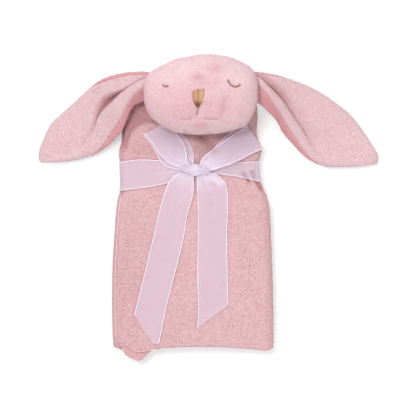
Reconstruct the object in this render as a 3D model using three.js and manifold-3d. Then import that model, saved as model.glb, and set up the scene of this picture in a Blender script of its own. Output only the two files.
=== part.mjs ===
// Comfort blanket lovey: a stuffed rabbit head with two floppy ears, sewn to the middle of a
// two-ply square blanket. The blanket is folded in half under the head, then in thirds
// across, and tied with a wide organza ribbon in a bow. It lies on its back.
// Millimetres. +Z is up, +Y runs from the hem to the head. Left and right are as seen from
// above, so left is the -X side.

import * as THREE from 'three';
import { mergeVertices } from 'three/addons/utils/BufferGeometryUtils.js';
import Module from 'manifold-3d';

const wasm = await Module();
wasm.setup();

// Clearances shared by all pieces
const GAP = 0.3;
const OVERRUN = 6;

// Blanket: the folded outline on the table
const FOLD_WIDTH = 222;
const FOLD_LEFT_X = -135.2;
const HEM_Y = -200;
const HEAD_FOLD_Y = 142;
const BLANKET_PLY = 2.4;
const BLANKET_PLY_GAP = 0.5;
const FREE_EDGE_INSET = 4;
const CORNER_RISE = 21;
const CORNER_RUN = 34;
const UNDER_CORNER_DROP = 14;
const UNDER_CORNER_RUN = 62;
const SHOULDER_DROP = 38;

// Ribbon: one length of organza, as a band, a knot, two loops and two tails
const RIBBON_WIDTH = 40;
const RIBBON_THICKNESS = 0.8;
const BAND_Y = 42;
const BAND_EASE = 0.9;
const BAND_CHAMFER = 2.5;
const WAIST_MARGIN = 1;
const WAIST_LIFT = 2.2;
const TIE_X = -20;
const TIE_ABOVE_BAND = 9;
const KNOT_LENGTH = 32;
const KNOT_WIDTH = 15;
const KNOT_HEIGHT = 11;
const RIBBON_LIFT = 0.6;
const OVER_BAND_RUN = 5;
const LEFT_TAIL_LENGTH = 232;
const RIGHT_TAIL_LENGTH = 210;
const LOOP_LOFT = 8;

// Head
const HEAD_WIDTH = 158;
const HEAD_HEIGHT = 112;
const HEAD_X = -12.9;
const HEAD_Y = 155.4;
const FACE_DEPTH = 38;
const NAPE_DEPTH = 28;
const HEAD_PLY = 2.2;

// Embroidery on the face
const THREAD_HEIGHT = 0.9;
const THREAD_LINE = 2.2;
const NOSE_WIDTH = 17.4;
const NOSE_HEIGHT = 24;
const NOSE_ASIDE = -3.5;
const NOSE_TOP_ABOVE_MIDDLE = 6.8;
const NOSE_LINE_LENGTH = 11;
const EYE_WIDTH = 15;
const EYE_SAG = 6;
const EYE_ABOVE_MIDDLE = 14.6;
const LEFT_EYE_ASIDE = -47.1;
const RIGHT_EYE_ASIDE = 46.3;
const MOUTH_WIDTH = 18;
const MOUTH_SAG = 1.6;
const MOUTH_BELOW_MIDDLE = 33.9;
const LEFT_MOUTH_ASIDE = -20.1;
const RIGHT_MOUTH_ASIDE = 14.9;

// Ears
const EAR_PLY = 2;
const EAR_BELOW_SEAM = 4.9;
const EAR_TOP_ABOVE_MIDDLE = 33.1;
const LEFT_EAR_REACH = 147;
const LEFT_EAR_DROP = 126.5;
const RIGHT_EAR_REACH = 172;
const RIGHT_EAR_DROP = 134;
const EAR_TUCK = 9;

// Sizes worked out from the ones above
const SHEET_HALF = BLANKET_PLY_GAP / 2 + BLANKET_PLY + BLANKET_PLY_GAP + BLANKET_PLY;
const LAYER_PITCH = SHEET_HALF + SHEET_HALF + BLANKET_PLY_GAP;
const BEND_RADIUS = LAYER_PITCH / 2;
const STACK_HEIGHT = LAYER_PITCH + LAYER_PITCH + SHEET_HALF + SHEET_HALF;
const WAIST_LOW_Y = BAND_Y - RIBBON_WIDTH / 2 - WAIST_MARGIN;
const WAIST_HIGH_Y = BAND_Y + RIBBON_WIDTH / 2 + WAIST_MARGIN;
const TIE_Y = BAND_Y + TIE_ABOVE_BAND;
const LEFT_BEND_X = SHEET_HALF + BEND_RADIUS;
const RIGHT_BEND_X = FOLD_WIDTH - SHEET_HALF - BEND_RADIUS;

// Outline of the folded blanket. Each row: how far the row lies from the waist to the hem or
// to the head fold, the inset of each side as a share of the width, and the thickness as a
// share of the stack.
const SKIRT_ROW_SHARES = [
  [1, 0.01, 0, 0.8],
  [0.7, 0, 0.003, 1],
  [0.25, 0.019, 0.015, 1.05],
  [0, 0.054, 0.088, 0.78],
];
const CHEST_ROW_SHARES = [
  [0, 0.05, 0.094, 0.78],
  [0.24, 0.05, 0.074, 0.82],
  [0.5, 0.061, 0.103, 0.66],
  [1, 0.064, 0.108, 0.6],
];
const CROWN_SHARE = 0.22;
const CROWN_POWER = 3;

// Places across the fold where the cloth has a row of points, and how far the head fold
// drops towards the left shoulder there
const ACROSS_SHARES = [0, 0.06, 0.12, 0.19, 0.32, 0.5, 0.68, 0.85, 1];
const SHOULDER_SHARES = [
  [0, 1],
  [0.06, 0.78],
  [0.12, 0.45],
  [0.19, 0.22],
  [0.32, 0.05],
  [0.5, 0],
  [1, 0],
];
const BEND_STEPS = 4;
const CAP_STEPS = 2;

// Band edges along the front, by share of the way across: top and bottom edge as shares of
// the ribbon's width above and below the band's middle
const BAND_EDGE_SHARES = [
  [0, 0.5, -0.5],
  [0.145, 0.53, -0.4],
  [0.28, 0.5, -0.29],
  [0.37, 0.45, -0.16],
  [0.46, 0.38, 0.04],
  [0.54, 0.35, 0.08],
  [0.61, 0.31, 0.11],
  [0.67, 0.27, 0.08],
  [0.87, 0.49, -0.02],
  [1, 0.5, -0.18],
];
const BAND_BACK_SHARES = [0.12, 0.3, 0.5, 0.7, 0.88];

// Tail edges: share of the tail's length down from the knot, and the place across in
// ribbon widths from the tie
const LEFT_TAIL_EDGE_SHARES = {
  left: [
    [0, -0.77],
    [0.04, -0.92],
    [0.12, -1.09],
    [0.26, -1.32],
    [0.33, -1.39],
    [0.786, -2.04],
    [0.828, -2.1],
    [1, -1.46],
  ],
  right: [
    [0, -0.08],
    [0.09, -0.08],
    [0.16, -0.17],
    [0.26, -0.33],
    [0.33, -0.37],
    [0.77, -1],
    [1, -1.28],
  ],
};
const RIGHT_TAIL_EDGE_SHARES = {
  left: [
    [0, 0.05],
    [0.3, 0.1],
    [0.68, 0.07],
    [0.85, 0.11],
    [1, 0.07],
  ],
  right: [
    [0, 0.67],
    [0.025, 0.9],
    [0.065, 1.04],
    [0.14, 1.1],
    [0.29, 1.1],
    [0.36, 1.08],
    [0.855, 1.12],
    [1, 0.12],
  ],
};
const TAIL_STEPS = 12;
const TAIL_COLUMNS = 4;

// Bow loops: both edges in ribbon widths from the tie, from the knot out to the fold, and
// the loft of the front layer as a share of the full loft
const LEFT_LOOP_SHARES = [
  [-0.44, 0.1, -0.2, 0.32, 0.55],
  [-0.9, 0.12, -0.2, 0.52, 0.8],
  [-1.18, 0.34, -0.27, 0.72, 1],
  [-1.42, 0.69, -0.37, 0.96, 1],
  [-1.62, 1, -0.57, 1.2, 0.8],
  [-1.78, 1.22, -0.88, 1.42, 0.45],
];
const RIGHT_LOOP_SHARES = [
  [0.22, 0.3, 0.44, 0.02, 0.55],
  [0.27, 0.4, 0.88, 0.07, 0.8],
  [0.53, 0.62, 1.26, 0.18, 1],
  [0.92, 0.86, 1.64, 0.35, 1],
  [1.36, 1.16, 2.02, 0.55, 0.8],
  [1.74, 1.44, 2.26, 0.74, 0.45],
];
const LOOP_COLUMNS = 4;
const LOOP_END_SHARE = 0.09;

// Ears, from the root to the tip. Each row: upper edge and lower edge as shares of the reach
// and the drop, where the long fold lies across the ear, and the height of the upper edge,
// the hollow, the fold and the lower edge as shares of the rise.
const LEFT_EAR_SHARES = [
  [0, 0, 0, 0.33, 0.27, 0.86, 0.76, 0.95, 0.74],
  [0.18, 0.025, 0.1, 0.38, 0.5, 0.78, 0.56, 0.86, 0.62],
  [0.34, 0.074, 0.17, 0.53, 0.55, 0.6, 0.3, 0.72, 0.56],
  [0.475, 0.17, 0.22, 0.67, 0.5, 0.36, 0.14, 0.48, 0.32],
  [0.615, 0.32, 0.335, 0.81, 0.6, 0.2, 0.1, 0.28, 0.12],
  [0.765, 0.475, 0.5, 0.925, 0.62, 0.12, 0.08, 0.16, 0.09],
  [0.89, 0.62, 0.69, 0.978, 0.62, 0.09, 0.075, 0.1, 0.08],
  [0.99, 0.93, 0.9, 1, 0.6, 0.07, 0.07, 0.07, 0.07],
];
const RIGHT_EAR_SHARES = [
  [0, 0, 0, 0.32, 0.25, 0.86, 0.76, 0.95, 0.74],
  [0.16, 0.025, 0.11, 0.41, 0.44, 0.76, 0.56, 0.84, 0.52],
  [0.31, 0.083, 0.175, 0.505, 0.58, 0.58, 0.34, 0.66, 0.32],
  [0.46, 0.165, 0.238, 0.64, 0.68, 0.36, 0.2, 0.5, 0.18],
  [0.62, 0.295, 0.333, 0.78, 0.74, 0.22, 0.13, 0.36, 0.12],
  [0.775, 0.455, 0.46, 0.915, 0.8, 0.14, 0.1, 0.22, 0.09],
  [0.9, 0.67, 0.645, 0.978, 0.8, 0.09, 0.08, 0.12, 0.08],
  [0.997, 0.875, 0.93, 0.95, 0.6, 0.07, 0.07, 0.07, 0.07],
];
const HOLLOW_OFFSET_SHARE = 0.15;
const EAR_ROWS = 15;

// Head shape
const HEAD_OUTLINE_POWER = 2.4;
const HEAD_SIDE_POWER = 2.3;
const HEAD_AROUND = 28;
const HEAD_DOWN = 16;

// Nose outline, as shares of its width and height from the middle of its top edge
const NOSE_SHARES = [
  [-0.5, 0],
  [0.5, 0],
  [0.48, -0.45],
  [0.3, -0.75],
  [0.05, -1],
  [-0.05, -1],
  [-0.34, -0.75],
  [-0.47, -0.45],
];
const STITCH_STEPS = 6;

// Facets round the knot and from end to end
const KNOT_AROUND = 16;
const KNOT_DOWN = 10;

/** Value of a table of [key, ...values] rows at a key, on straight lines between rows. */
function lookUp(rows, key, column) {
  const last = rows.length - 1;
  const rising = rows[last][0] > rows[0][0];
  const before = (row) => (rising ? row[0] <= key : row[0] >= key);
  let index = 0;
  while (index < last - 1 && before(rows[index + 1])) {
    index += 1;
  }
  const low = rows[index];
  const high = rows[index + 1];
  const share = THREE.MathUtils.clamp((key - low[0]) / (high[0] - low[0]), 0, 1);
  return low[column] + (high[column] - low[column]) * share;
}

/** Signed volume of an indexed geometry. */
function signedVolume(geometry) {
  const position = geometry.getAttribute('position');
  const index = geometry.getIndex();
  const a = new THREE.Vector3();
  const b = new THREE.Vector3();
  const c = new THREE.Vector3();
  let total = 0;
  for (let corner = 0; corner < index.count; corner += 3) {
    a.fromBufferAttribute(position, index.getX(corner));
    b.fromBufferAttribute(position, index.getX(corner + 1));
    c.fromBufferAttribute(position, index.getX(corner + 2));
    total += a.dot(b.cross(c));
  }
  return total;
}

/** Closed thin solid between two grids of points of the same shape. */
function slabGeometry(front, back, ring = false) {
  const rows = front.length;
  const columns = front[0].length;
  const vertices = [...front.flat(), ...back.flat()].flatMap((point) => point.toArray());
  const at = (side, row, column) => (side * rows + (row % rows)) * columns + column;
  let faces = [];
  const quad = (a, b, c, d) => faces.push([a, b, c], [a, c, d]);
  const lastColumn = columns - 1;
  for (let row = 0; row < (ring ? rows : rows - 1); row += 1) {
    for (let column = 0; column < lastColumn; column += 1) {
      quad(at(0, row, column), at(0, row, column + 1), at(0, row + 1, column + 1), at(0, row + 1, column));
      quad(at(1, row, column), at(1, row + 1, column), at(1, row + 1, column + 1), at(1, row, column + 1));
    }
    quad(at(0, row, 0), at(0, row + 1, 0), at(1, row + 1, 0), at(1, row, 0));
    const side = [at(0, row, lastColumn), at(1, row, lastColumn)];
    quad(...side, at(1, row + 1, lastColumn), at(0, row + 1, lastColumn));
  }
  for (let column = 0; column < lastColumn && !ring; column += 1) {
    const end = rows - 1;
    quad(at(0, 0, column), at(1, 0, column), at(1, 0, column + 1), at(0, 0, column + 1));
    quad(at(0, end, column), at(0, end, column + 1), at(1, end, column + 1), at(1, end, column));
  }
  const geometry = new THREE.BufferGeometry();
  geometry.setAttribute('position', new THREE.Float32BufferAttribute(vertices, 3));
  geometry.setIndex(faces.flat());
  if (signedVolume(geometry) < 0) {
    faces = faces.map(([a, b, c]) => [a, c, b]);
    geometry.setIndex(faces.flat());
  }
  return geometry;
}

/** The grid moved along its own normals by a distance. */
function offsetGrid(grid, distance, ring = false) {
  const rows = grid.length;
  const columns = grid[0].length;
  const rowAt = (row) => (ring ? grid[(row + rows) % rows] : grid[THREE.MathUtils.clamp(row, 0, rows - 1)]);
  return grid.map((line, row) =>
    line.map((point, column) => {
      const along = rowAt(row + 1)[column].clone().sub(rowAt(row - 1)[column]);
      const next = line[Math.min(column + 1, columns - 1)];
      const across = next.clone().sub(line[Math.max(column - 1, 0)]);
      return point.clone().addScaledVector(along.cross(across).normalize(), distance);
    }),
  );
}

/** A geometry as a solid that can be joined and cut. */
function toSolid(geometry) {
  const bare = geometry.clone();
  bare.deleteAttribute('normal');
  bare.deleteAttribute('uv');
  const merged = mergeVertices(bare);
  return new wasm.Manifold(
    new wasm.Mesh({
      numProp: 3,
      vertProperties: new Float32Array(merged.getAttribute('position').array),
      triVerts: new Uint32Array(merged.getIndex().array),
    }),
  );
}

/** The geometry of a solid. */
function toGeometry(solid) {
  const mesh = solid.getMesh();
  const geometry = new THREE.BufferGeometry();
  geometry.setAttribute('position', new THREE.BufferAttribute(mesh.vertProperties, mesh.numProp));
  geometry.setIndex(new THREE.BufferAttribute(mesh.triVerts, 1));
  return geometry;
}

/** Rows of the blanket's outline: y, left x, right x, thickness and lift. */
function outlineRows() {
  const row = (y, [, left, right, thick], lift) => [
    y,
    FOLD_LEFT_X + left * FOLD_WIDTH,
    FOLD_LEFT_X + (1 - right) * FOLD_WIDTH,
    thick * STACK_HEIGHT,
    lift,
  ];
  const skirt = SKIRT_ROW_SHARES.map((shares) => {
    const y = WAIST_LOW_Y + shares[0] * (HEM_Y - WAIST_LOW_Y);
    return row(y, shares, shares[0] > 0 ? 0 : WAIST_LIFT);
  });
  const chest = CHEST_ROW_SHARES.map((shares) => {
    const y = WAIST_HIGH_Y + shares[0] * (HEAD_FOLD_Y - WAIST_HIGH_Y);
    return row(y, shares, shares[0] > 0 ? 0 : WAIST_LIFT);
  });
  return [...skirt, ...chest];
}

const OUTLINE = outlineRows();

/** Place in the folded stack turned to a place in the real, crowned and waisted bundle. */
function bundlePoint(across, y, up) {
  const left = lookUp(OUTLINE, y, 1);
  const right = lookUp(OUTLINE, y, 2);
  const thick = lookUp(OUTLINE, y, 3);
  const lift = lookUp(OUTLINE, y, 4);
  const share = across / FOLD_WIDTH;
  const edge = Math.min(Math.abs(share + share - 1), 1);
  const crown = 1 - CROWN_SHARE * edge ** CROWN_POWER;
  const x = left + share * (right - left);
  return new THREE.Vector3(x, y, lift + (up / STACK_HEIGHT) * thick * crown);
}

/** Height of the bundle's front face over a place on the table. */
function frontHeight(x, y) {
  const left = lookUp(OUTLINE, y, 1);
  const right = lookUp(OUTLINE, y, 2);
  const across = ((x - left) / (right - left)) * FOLD_WIDTH;
  return bundlePoint(across, y, STACK_HEIGHT).z;
}

/** The zigzag that the doubled sheet follows across the fold, with its normals. */
function foldPath() {
  const inner = ACROSS_SHARES.map((share) => LEFT_BEND_X + share * (RIGHT_BEND_X - LEFT_BEND_X));
  const levels = [0, 1, 2].map((layer) => SHEET_HALF + layer * LAYER_PITCH);
  const point = (x, z, normal, edge = Infinity) => ({ x, z, normalX: normal[0], normalZ: normal[1], edge });
  const bend = (x, z, side) => {
    const points = [];
    for (let step = 1; step < BEND_STEPS; step += 1) {
      const angle = (Math.PI * step) / BEND_STEPS;
      const out = [side * Math.sin(angle), Math.cos(angle)];
      const normal = side > 0 ? out : [Math.sin(angle), -Math.cos(angle)];
      points.push(point(x + BEND_RADIUS * out[0], z + BEND_RADIUS * out[1], normal));
    }
    return points;
  };
  const top = [FREE_EDGE_INSET, ...inner].map((x) => point(x, levels[2], [0, 1], x - FREE_EDGE_INSET));
  const middle = inner.toReversed().map((x) => point(x, levels[1], [0, -1]));
  const bottom = [...inner, FOLD_WIDTH - FREE_EDGE_INSET].map((x) => point(x, levels[0], [0, 1]));
  const rightBend = bend(RIGHT_BEND_X, levels[1] + BEND_RADIUS, 1);
  const leftBend = bend(LEFT_BEND_X, levels[0] + BEND_RADIUS, -1);
  return [...top, ...rightBend, ...middle, ...leftBend, ...bottom];
}

/** Y of the hem of the front or the back half, with the free corners rounded. */
function hemY(edge, half) {
  const rise = CORNER_RISE * Math.max(0, 1 - edge / CORNER_RUN) ** 2;
  if (half > 0) {
    return HEM_Y + rise;
  }
  const swing = Math.sin(Math.PI * Math.min(edge / UNDER_CORNER_RUN, 1)) ** 2;
  return HEM_Y + rise - UNDER_CORNER_DROP * swing;
}

/** One surface of a ply, an offset away from the middle of the doubled sheet. */
function plySurface(offset) {
  const inside = OUTLINE.slice(1, -1).map((row) => row[0]);
  return foldPath().map((path) => {
    const share = THREE.MathUtils.clamp((path.x - LEFT_BEND_X) / (RIGHT_BEND_X - LEFT_BEND_X), 0, 1);
    const foldY = HEAD_FOLD_Y - SHOULDER_DROP * lookUp(SHOULDER_SHARES, share, 1);
    const place = (y, distance) =>
      bundlePoint(path.x + distance * path.normalX, y, path.z + distance * path.normalZ);
    const line = [hemY(path.edge, 1), ...inside, foldY].map((y) => place(y, offset));
    for (let step = 1; step < CAP_STEPS; step += 1) {
      const angle = (Math.PI * step) / CAP_STEPS;
      line.push(place(foldY + offset * Math.sin(angle), offset * Math.cos(angle)));
    }
    const back = [foldY, ...inside.toReversed(), hemY(path.edge, -1)];
    return [...line, ...back.map((y) => place(y, -offset))];
  });
}

/** One ply of the blanket, through all its folds. */
function blanketPly(innerOffset) {
  return slabGeometry(plySurface(innerOffset + BLANKET_PLY), plySurface(innerOffset));
}

/** The head's outside as a solid, grown or shrunk all round. */
function headSolid(grow) {
  const geometry = new THREE.SphereGeometry(1, HEAD_AROUND, HEAD_DOWN);
  geometry.rotateX(Math.PI / 2);
  const position = geometry.getAttribute('position');
  const bulge = (value, power) => Math.sign(value) * Math.abs(value) ** (2 / power);
  for (let index = 0; index < position.count; index += 1) {
    const unit = new THREE.Vector3().fromBufferAttribute(position, index);
    const flat = Math.hypot(unit.x, unit.y);
    const angle = Math.atan2(unit.y, unit.x);
    const spread = bulge(Math.min(flat, 1), HEAD_SIDE_POWER);
    const depth = unit.z > 0 ? FACE_DEPTH + grow : NAPE_DEPTH + grow;
    position.setXYZ(
      index,
      HEAD_X + (HEAD_WIDTH / 2 + grow) * spread * bulge(Math.cos(angle), HEAD_OUTLINE_POWER),
      HEAD_Y + (HEAD_HEIGHT / 2 + grow) * spread * bulge(Math.sin(angle), HEAD_OUTLINE_POWER),
      HEAD_Z + depth * bulge(unit.z, HEAD_SIDE_POWER),
    );
  }
  return toSolid(geometry);
}

/** Height at which the head's side seam lies, with the nape resting on the blanket. */
function headHeight() {
  return frontHeight(HEAD_X, HEAD_FOLD_Y) + GAP + NAPE_DEPTH;
}

const HEAD_Z = headHeight();
const EAR_RISE = HEAD_Z - EAR_BELOW_SEAM;

/** A tall block that keeps what lies in front of the side seam, or behind it. */
function seamBlock(side) {
  const depth = FACE_DEPTH + NAPE_DEPTH + OVERRUN;
  const block = new THREE.BoxGeometry(HEAD_WIDTH + OVERRUN, HEAD_HEIGHT + OVERRUN, depth);
  block.translate(HEAD_X, HEAD_Y, HEAD_Z + side * (depth / 2 + GAP / 2));
  return toSolid(block);
}

/** Front or back cover of the head, an open bowl of plush. */
function headCover(side) {
  const shell = headSolid(0).subtract(headSolid(-HEAD_PLY));
  return toGeometry(shell.intersect(seamBlock(side)));
}

/** Thread that stands on the face inside a flat outline. */
function embroidery(outline) {
  const shape = new THREE.Shape(outline.map(([x, y]) => new THREE.Vector2(x, y)));
  const prism = new THREE.ExtrudeGeometry(shape, { depth: FACE_DEPTH + OVERRUN, bevelEnabled: false });
  prism.translate(0, 0, HEAD_Z);
  const skin = headSolid(GAP + THREAD_HEIGHT).subtract(headSolid(GAP));
  return toGeometry(toSolid(prism).intersect(skin));
}

/** Sewn line that hangs in a shallow arc, placed from the middle of the head. */
function arcStitch(aside, above, width, sag) {
  const x = HEAD_X + aside;
  const y = HEAD_Y + above;
  const upper = [];
  const lower = [];
  for (let step = 0; step <= STITCH_STEPS; step += 1) {
    const share = step / STITCH_STEPS;
    const drop = sag * 4 * share * (1 - share);
    upper.push([x + (share - 0.5) * width, y - drop + THREAD_LINE / 2]);
    lower.unshift([x + (share - 0.5) * width, y - drop - THREAD_LINE / 2]);
  }
  return embroidery([...lower.toReversed(), ...upper.toReversed()]);
}

/** The satin stitched nose. */
function noseGeometry() {
  const x = HEAD_X + NOSE_ASIDE;
  const y = HEAD_Y + NOSE_TOP_ABOVE_MIDDLE;
  return embroidery(NOSE_SHARES.map((share) => [x + share[0] * NOSE_WIDTH, y + share[1] * NOSE_HEIGHT]));
}

/** The stitched line under the nose. */
function noseLineGeometry() {
  const x = HEAD_X + NOSE_ASIDE;
  const top = HEAD_Y + NOSE_TOP_ABOVE_MIDDLE - NOSE_HEIGHT - GAP;
  const half = THREAD_LINE / 2;
  return embroidery([
    [x - half, top - NOSE_LINE_LENGTH],
    [x + half, top - NOSE_LINE_LENGTH],
    [x + half, top],
    [x - half, top],
  ]);
}

/** Places across an ear: its edges, the hollow, the fold and points between them. */
function earColumns(hollow, fold) {
  const third = (1 - fold) / 3;
  return [0, hollow / 2, hollow, (hollow + fold) / 2, fold, fold + third, 1 - third, 1];
}

/** Middle surface of an ear, from inside the head's side to the tip. */
function earGrid(rows, reach, drop) {
  const keyed = rows.map((row, index) => [index / (rows.length - 1), ...row]);
  const side = Math.sign(reach);
  const rootX = HEAD_X + (side * HEAD_WIDTH) / 2;
  const topY = HEAD_Y + EAR_TOP_ABOVE_MIDDLE;
  const grid = [];
  for (let line = 0; line < EAR_ROWS; line += 1) {
    const along = line / (EAR_ROWS - 1);
    const value = (column) => lookUp(keyed, along, column);
    const tuck = line === 0 ? EAR_TUCK : 0;
    const place = (x, y) => new THREE.Vector2(rootX + x * reach - side * tuck, topY - y * drop);
    const upper = place(value(1), value(2));
    const lower = place(value(3), value(4));
    const fold = value(5);
    const hollow = Math.max(fold - HOLLOW_OFFSET_SHARE, fold / 2);
    const heights = [
      [0, value(6)],
      [hollow, value(7)],
      [fold, value(8)],
      [1, value(9)],
    ];
    grid.push(
      earColumns(hollow, fold).map((share) => {
        const flat = upper.clone().lerp(lower, share);
        return new THREE.Vector3(flat.x, flat.y, EAR_RISE * smoothHeight(heights, share));
      }),
    );
  }
  return grid;
}

/** Height between rows of [share, height], eased at each row. */
function smoothHeight(rows, share) {
  let index = 0;
  while (index < rows.length - 2 && rows[index + 1][0] <= share) {
    index += 1;
  }
  const [low, from] = rows[index];
  const [high, to] = rows[index + 1];
  return from + (to - from) * THREE.MathUtils.smoothstep(share, low, high);
}

/** One ply of an ear, between two distances from its middle surface, clear of the head. */
function earPly(rows, reach, drop, near, far) {
  const grid = earGrid(rows, reach, drop);
  const slab = slabGeometry(offsetGrid(grid, near), offsetGrid(grid, far));
  return toGeometry(toSolid(slab).subtract(headSolid(GAP)));
}

/** The ribbon's path round the waist, as rows of points from its low to its high edge. */
function bandGrid() {
  const low = -BAND_EASE;
  const high = STACK_HEIGHT + BAND_EASE;
  const right = FOLD_WIDTH + BAND_EASE;
  const chamfer = BAND_CHAMFER;
  const front = BAND_EDGE_SHARES.map(([share, top, bottom]) => {
    const across = THREE.MathUtils.clamp(share * FOLD_WIDTH, low + chamfer, right - chamfer);
    return [across, high, top, bottom];
  });
  const first = BAND_EDGE_SHARES[0];
  const last = BAND_EDGE_SHARES[BAND_EDGE_SHARES.length - 1];
  const rightSide = [
    [right, high - chamfer, last[1], last[2]],
    [right, low + chamfer, last[1], last[2]],
  ];
  const back = [1, ...BAND_BACK_SHARES.toReversed(), 0].map((share) => {
    const across = low + chamfer + share * (right - chamfer - low - chamfer);
    const lerp = (column) => first[column] + (last[column] - first[column]) * share;
    return [across, low, lerp(1), lerp(2)];
  });
  const leftSide = [
    [low, low + chamfer, first[1], first[2]],
    [low, high - chamfer, first[1], first[2]],
  ];
  return [...front, ...rightSide, ...back, ...leftSide].map(([across, up, top, bottom]) => {
    const highY = BAND_Y + top * RIBBON_WIDTH;
    const lowY = BAND_Y + bottom * RIBBON_WIDTH;
    return [lowY, (lowY + highY) / 2, highY].map((y) => bundlePoint(across, y, up));
  });
}

/** The part of the ribbon that goes round the folded blanket. */
function bandGeometry() {
  const grid = bandGrid();
  return slabGeometry(offsetGrid(grid, RIBBON_THICKNESS, true), grid, true);
}

const BAND_TOP_Z = frontHeight(TIE_X, TIE_Y) + BAND_EASE + RIBBON_THICKNESS;
const KNOT_Z = BAND_TOP_Z + GAP + KNOT_HEIGHT / 2;

/** The pulled knot. */
function knotGeometry() {
  const knot = new THREE.SphereGeometry(1, KNOT_AROUND, KNOT_DOWN);
  knot.rotateZ(Math.PI / 2);
  knot.scale(KNOT_LENGTH / 2, KNOT_WIDTH / 2, KNOT_HEIGHT / 2);
  knot.translate(TIE_X, TIE_Y, KNOT_Z);
  return toGeometry(toSolid(knot));
}

/** Height of the middle of a ribbon that lies on the bundle, over the band near the tie. */
function ribbonHeight(x, y) {
  const half = RIBBON_THICKNESS / 2;
  const onCloth = frontHeight(x, y) + RIBBON_LIFT + GAP + half;
  const overBand = BAND_TOP_Z + GAP + half;
  const offBand = Math.max(WAIST_LOW_Y - y, y - WAIST_HIGH_Y, 0);
  return offBand < OVER_BAND_RUN ? Math.max(onCloth, overBand) : onCloth;
}

/** A tail of the bow, lying down the front of the bundle. */
function tailGeometry(edges, length) {
  const rootY = TIE_Y - KNOT_WIDTH / 2 - GAP;
  const endY = rootY - length;
  const ys = OUTLINE.map((row) => row[0]).filter((y) => y < rootY && y > endY);
  for (let step = 0; step <= TAIL_STEPS; step += 1) {
    ys.push(rootY - (length * step) / TAIL_STEPS);
  }
  ys.sort((a, b) => b - a);
  const grid = ys.map((y) => {
    const share = (rootY - y) / length;
    const left = TIE_X + RIBBON_WIDTH * lookUp(edges.left, share, 1);
    const right = TIE_X + RIBBON_WIDTH * lookUp(edges.right, share, 1);
    const line = [];
    for (let column = 0; column < TAIL_COLUMNS; column += 1) {
      const x = left + ((right - left) * column) / (TAIL_COLUMNS - 1);
      line.push(new THREE.Vector3(x, y, ribbonHeight(x, y)));
    }
    return line;
  });
  const half = RIBBON_THICKNESS / 2;
  return slabGeometry(offsetGrid(grid, half), offsetGrid(grid, -half));
}

/** A loop of the bow: out from the knot along the cloth, round a fold and back above. */
function loopGeometry(rows) {
  const place = (row, loft) => {
    const line = [];
    for (let column = 0; column < LOOP_COLUMNS; column += 1) {
      const share = column / (LOOP_COLUMNS - 1);
      const x = TIE_X + RIBBON_WIDTH * (row[0] + (row[2] - row[0]) * share);
      const y = TIE_Y + RIBBON_WIDTH * (row[1] + (row[3] - row[1]) * share);
      line.push(new THREE.Vector3(x, y, ribbonHeight(x, y) + loft));
    }
    return line;
  };
  const last = rows[rows.length - 1];
  const before = rows[rows.length - 2];
  const end = last.map((value, index) => value + (value - before[index]) * LOOP_END_SHARE);
  const grid = [
    ...rows.map((row) => place(row, 0)),
    place(end, (LOOP_LOFT * last[4]) / 2),
    ...rows.toReversed().map((row) => place(row, LOOP_LOFT * row[4])),
  ];
  const half = RIBBON_THICKNESS / 2;
  return slabGeometry(offsetGrid(grid, half), offsetGrid(grid, -half));
}

/** A named piece in its own material. */
function piece(name, geometry, color, roughness) {
  const material = new THREE.MeshStandardMaterial({ color, roughness, metalness: 0 });
  const mesh = new THREE.Mesh(geometry, material);
  mesh.name = name;
  return mesh;
}

/** The blanket's two plies. */
function blanketPieces() {
  const liningOffset = BLANKET_PLY_GAP / 2;
  const faceOffset = liningOffset + BLANKET_PLY + BLANKET_PLY_GAP;
  return [
    piece('blanket_face', blanketPly(faceOffset), 0xdeaeb2, 0.95),
    piece('blanket_lining', blanketPly(liningOffset), 0xf0cdd2, 0.9),
  ];
}

/** The stuffed head and the face sewn on it. */
function headPieces() {
  const thread = 0xb98559;
  const pink = 0xd9a0a6;
  const eye = (aside) => arcStitch(aside, EYE_ABOVE_MIDDLE, EYE_WIDTH, EYE_SAG);
  const mouth = (aside) => arcStitch(aside, -MOUTH_BELOW_MIDDLE, MOUTH_WIDTH, MOUTH_SAG);
  return [
    piece('head_front', headCover(1), 0xf2cbd0, 0.9),
    piece('head_back', headCover(-1), 0xedc2c8, 0.9),
    piece('head_stuffing', toGeometry(headSolid(-HEAD_PLY - GAP)), 0xf7f5f0, 1),
    piece('nose_satin_stitch', noseGeometry(), thread, 0.5),
    piece('nose_line_stitch', noseLineGeometry(), thread, 0.5),
    piece('left_eye_stitch', eye(LEFT_EYE_ASIDE), thread, 0.5),
    piece('right_eye_stitch', eye(RIGHT_EYE_ASIDE), thread, 0.5),
    piece('left_mouth_stitch', mouth(LEFT_MOUTH_ASIDE), pink, 0.8),
    piece('right_mouth_stitch', mouth(RIGHT_MOUTH_ASIDE), pink, 0.8),
  ];
}

/** Both plies of one ear. */
function earPieces(side, rows, reach, drop) {
  const near = GAP / 2;
  const far = near + EAR_PLY;
  const up = Math.sign(reach) < 0 ? 1 : -1;
  return [
    piece(`${side}_ear_lining`, earPly(rows, reach, drop, up * near, up * far), 0xeac4ca, 0.85),
    piece(`${side}_ear_backing`, earPly(rows, reach, drop, -up * near, -up * far), 0xcf939a, 0.95),
  ];
}

/** The tied ribbon. */
function ribbonPieces() {
  const sheer = 0xe2cbdd;
  return [
    piece('ribbon_band', bandGeometry(), sheer, 0.45),
    piece('ribbon_knot', knotGeometry(), 0xeadcec, 0.45),
    piece('left_bow_loop', loopGeometry(LEFT_LOOP_SHARES), sheer, 0.45),
    piece('right_bow_loop', loopGeometry(RIGHT_LOOP_SHARES), sheer, 0.45),
    piece('left_ribbon_tail', tailGeometry(LEFT_TAIL_EDGE_SHARES, LEFT_TAIL_LENGTH), sheer, 0.45),
    piece('right_ribbon_tail', tailGeometry(RIGHT_TAIL_EDGE_SHARES, RIGHT_TAIL_LENGTH), sheer, 0.45),
  ];
}

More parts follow.
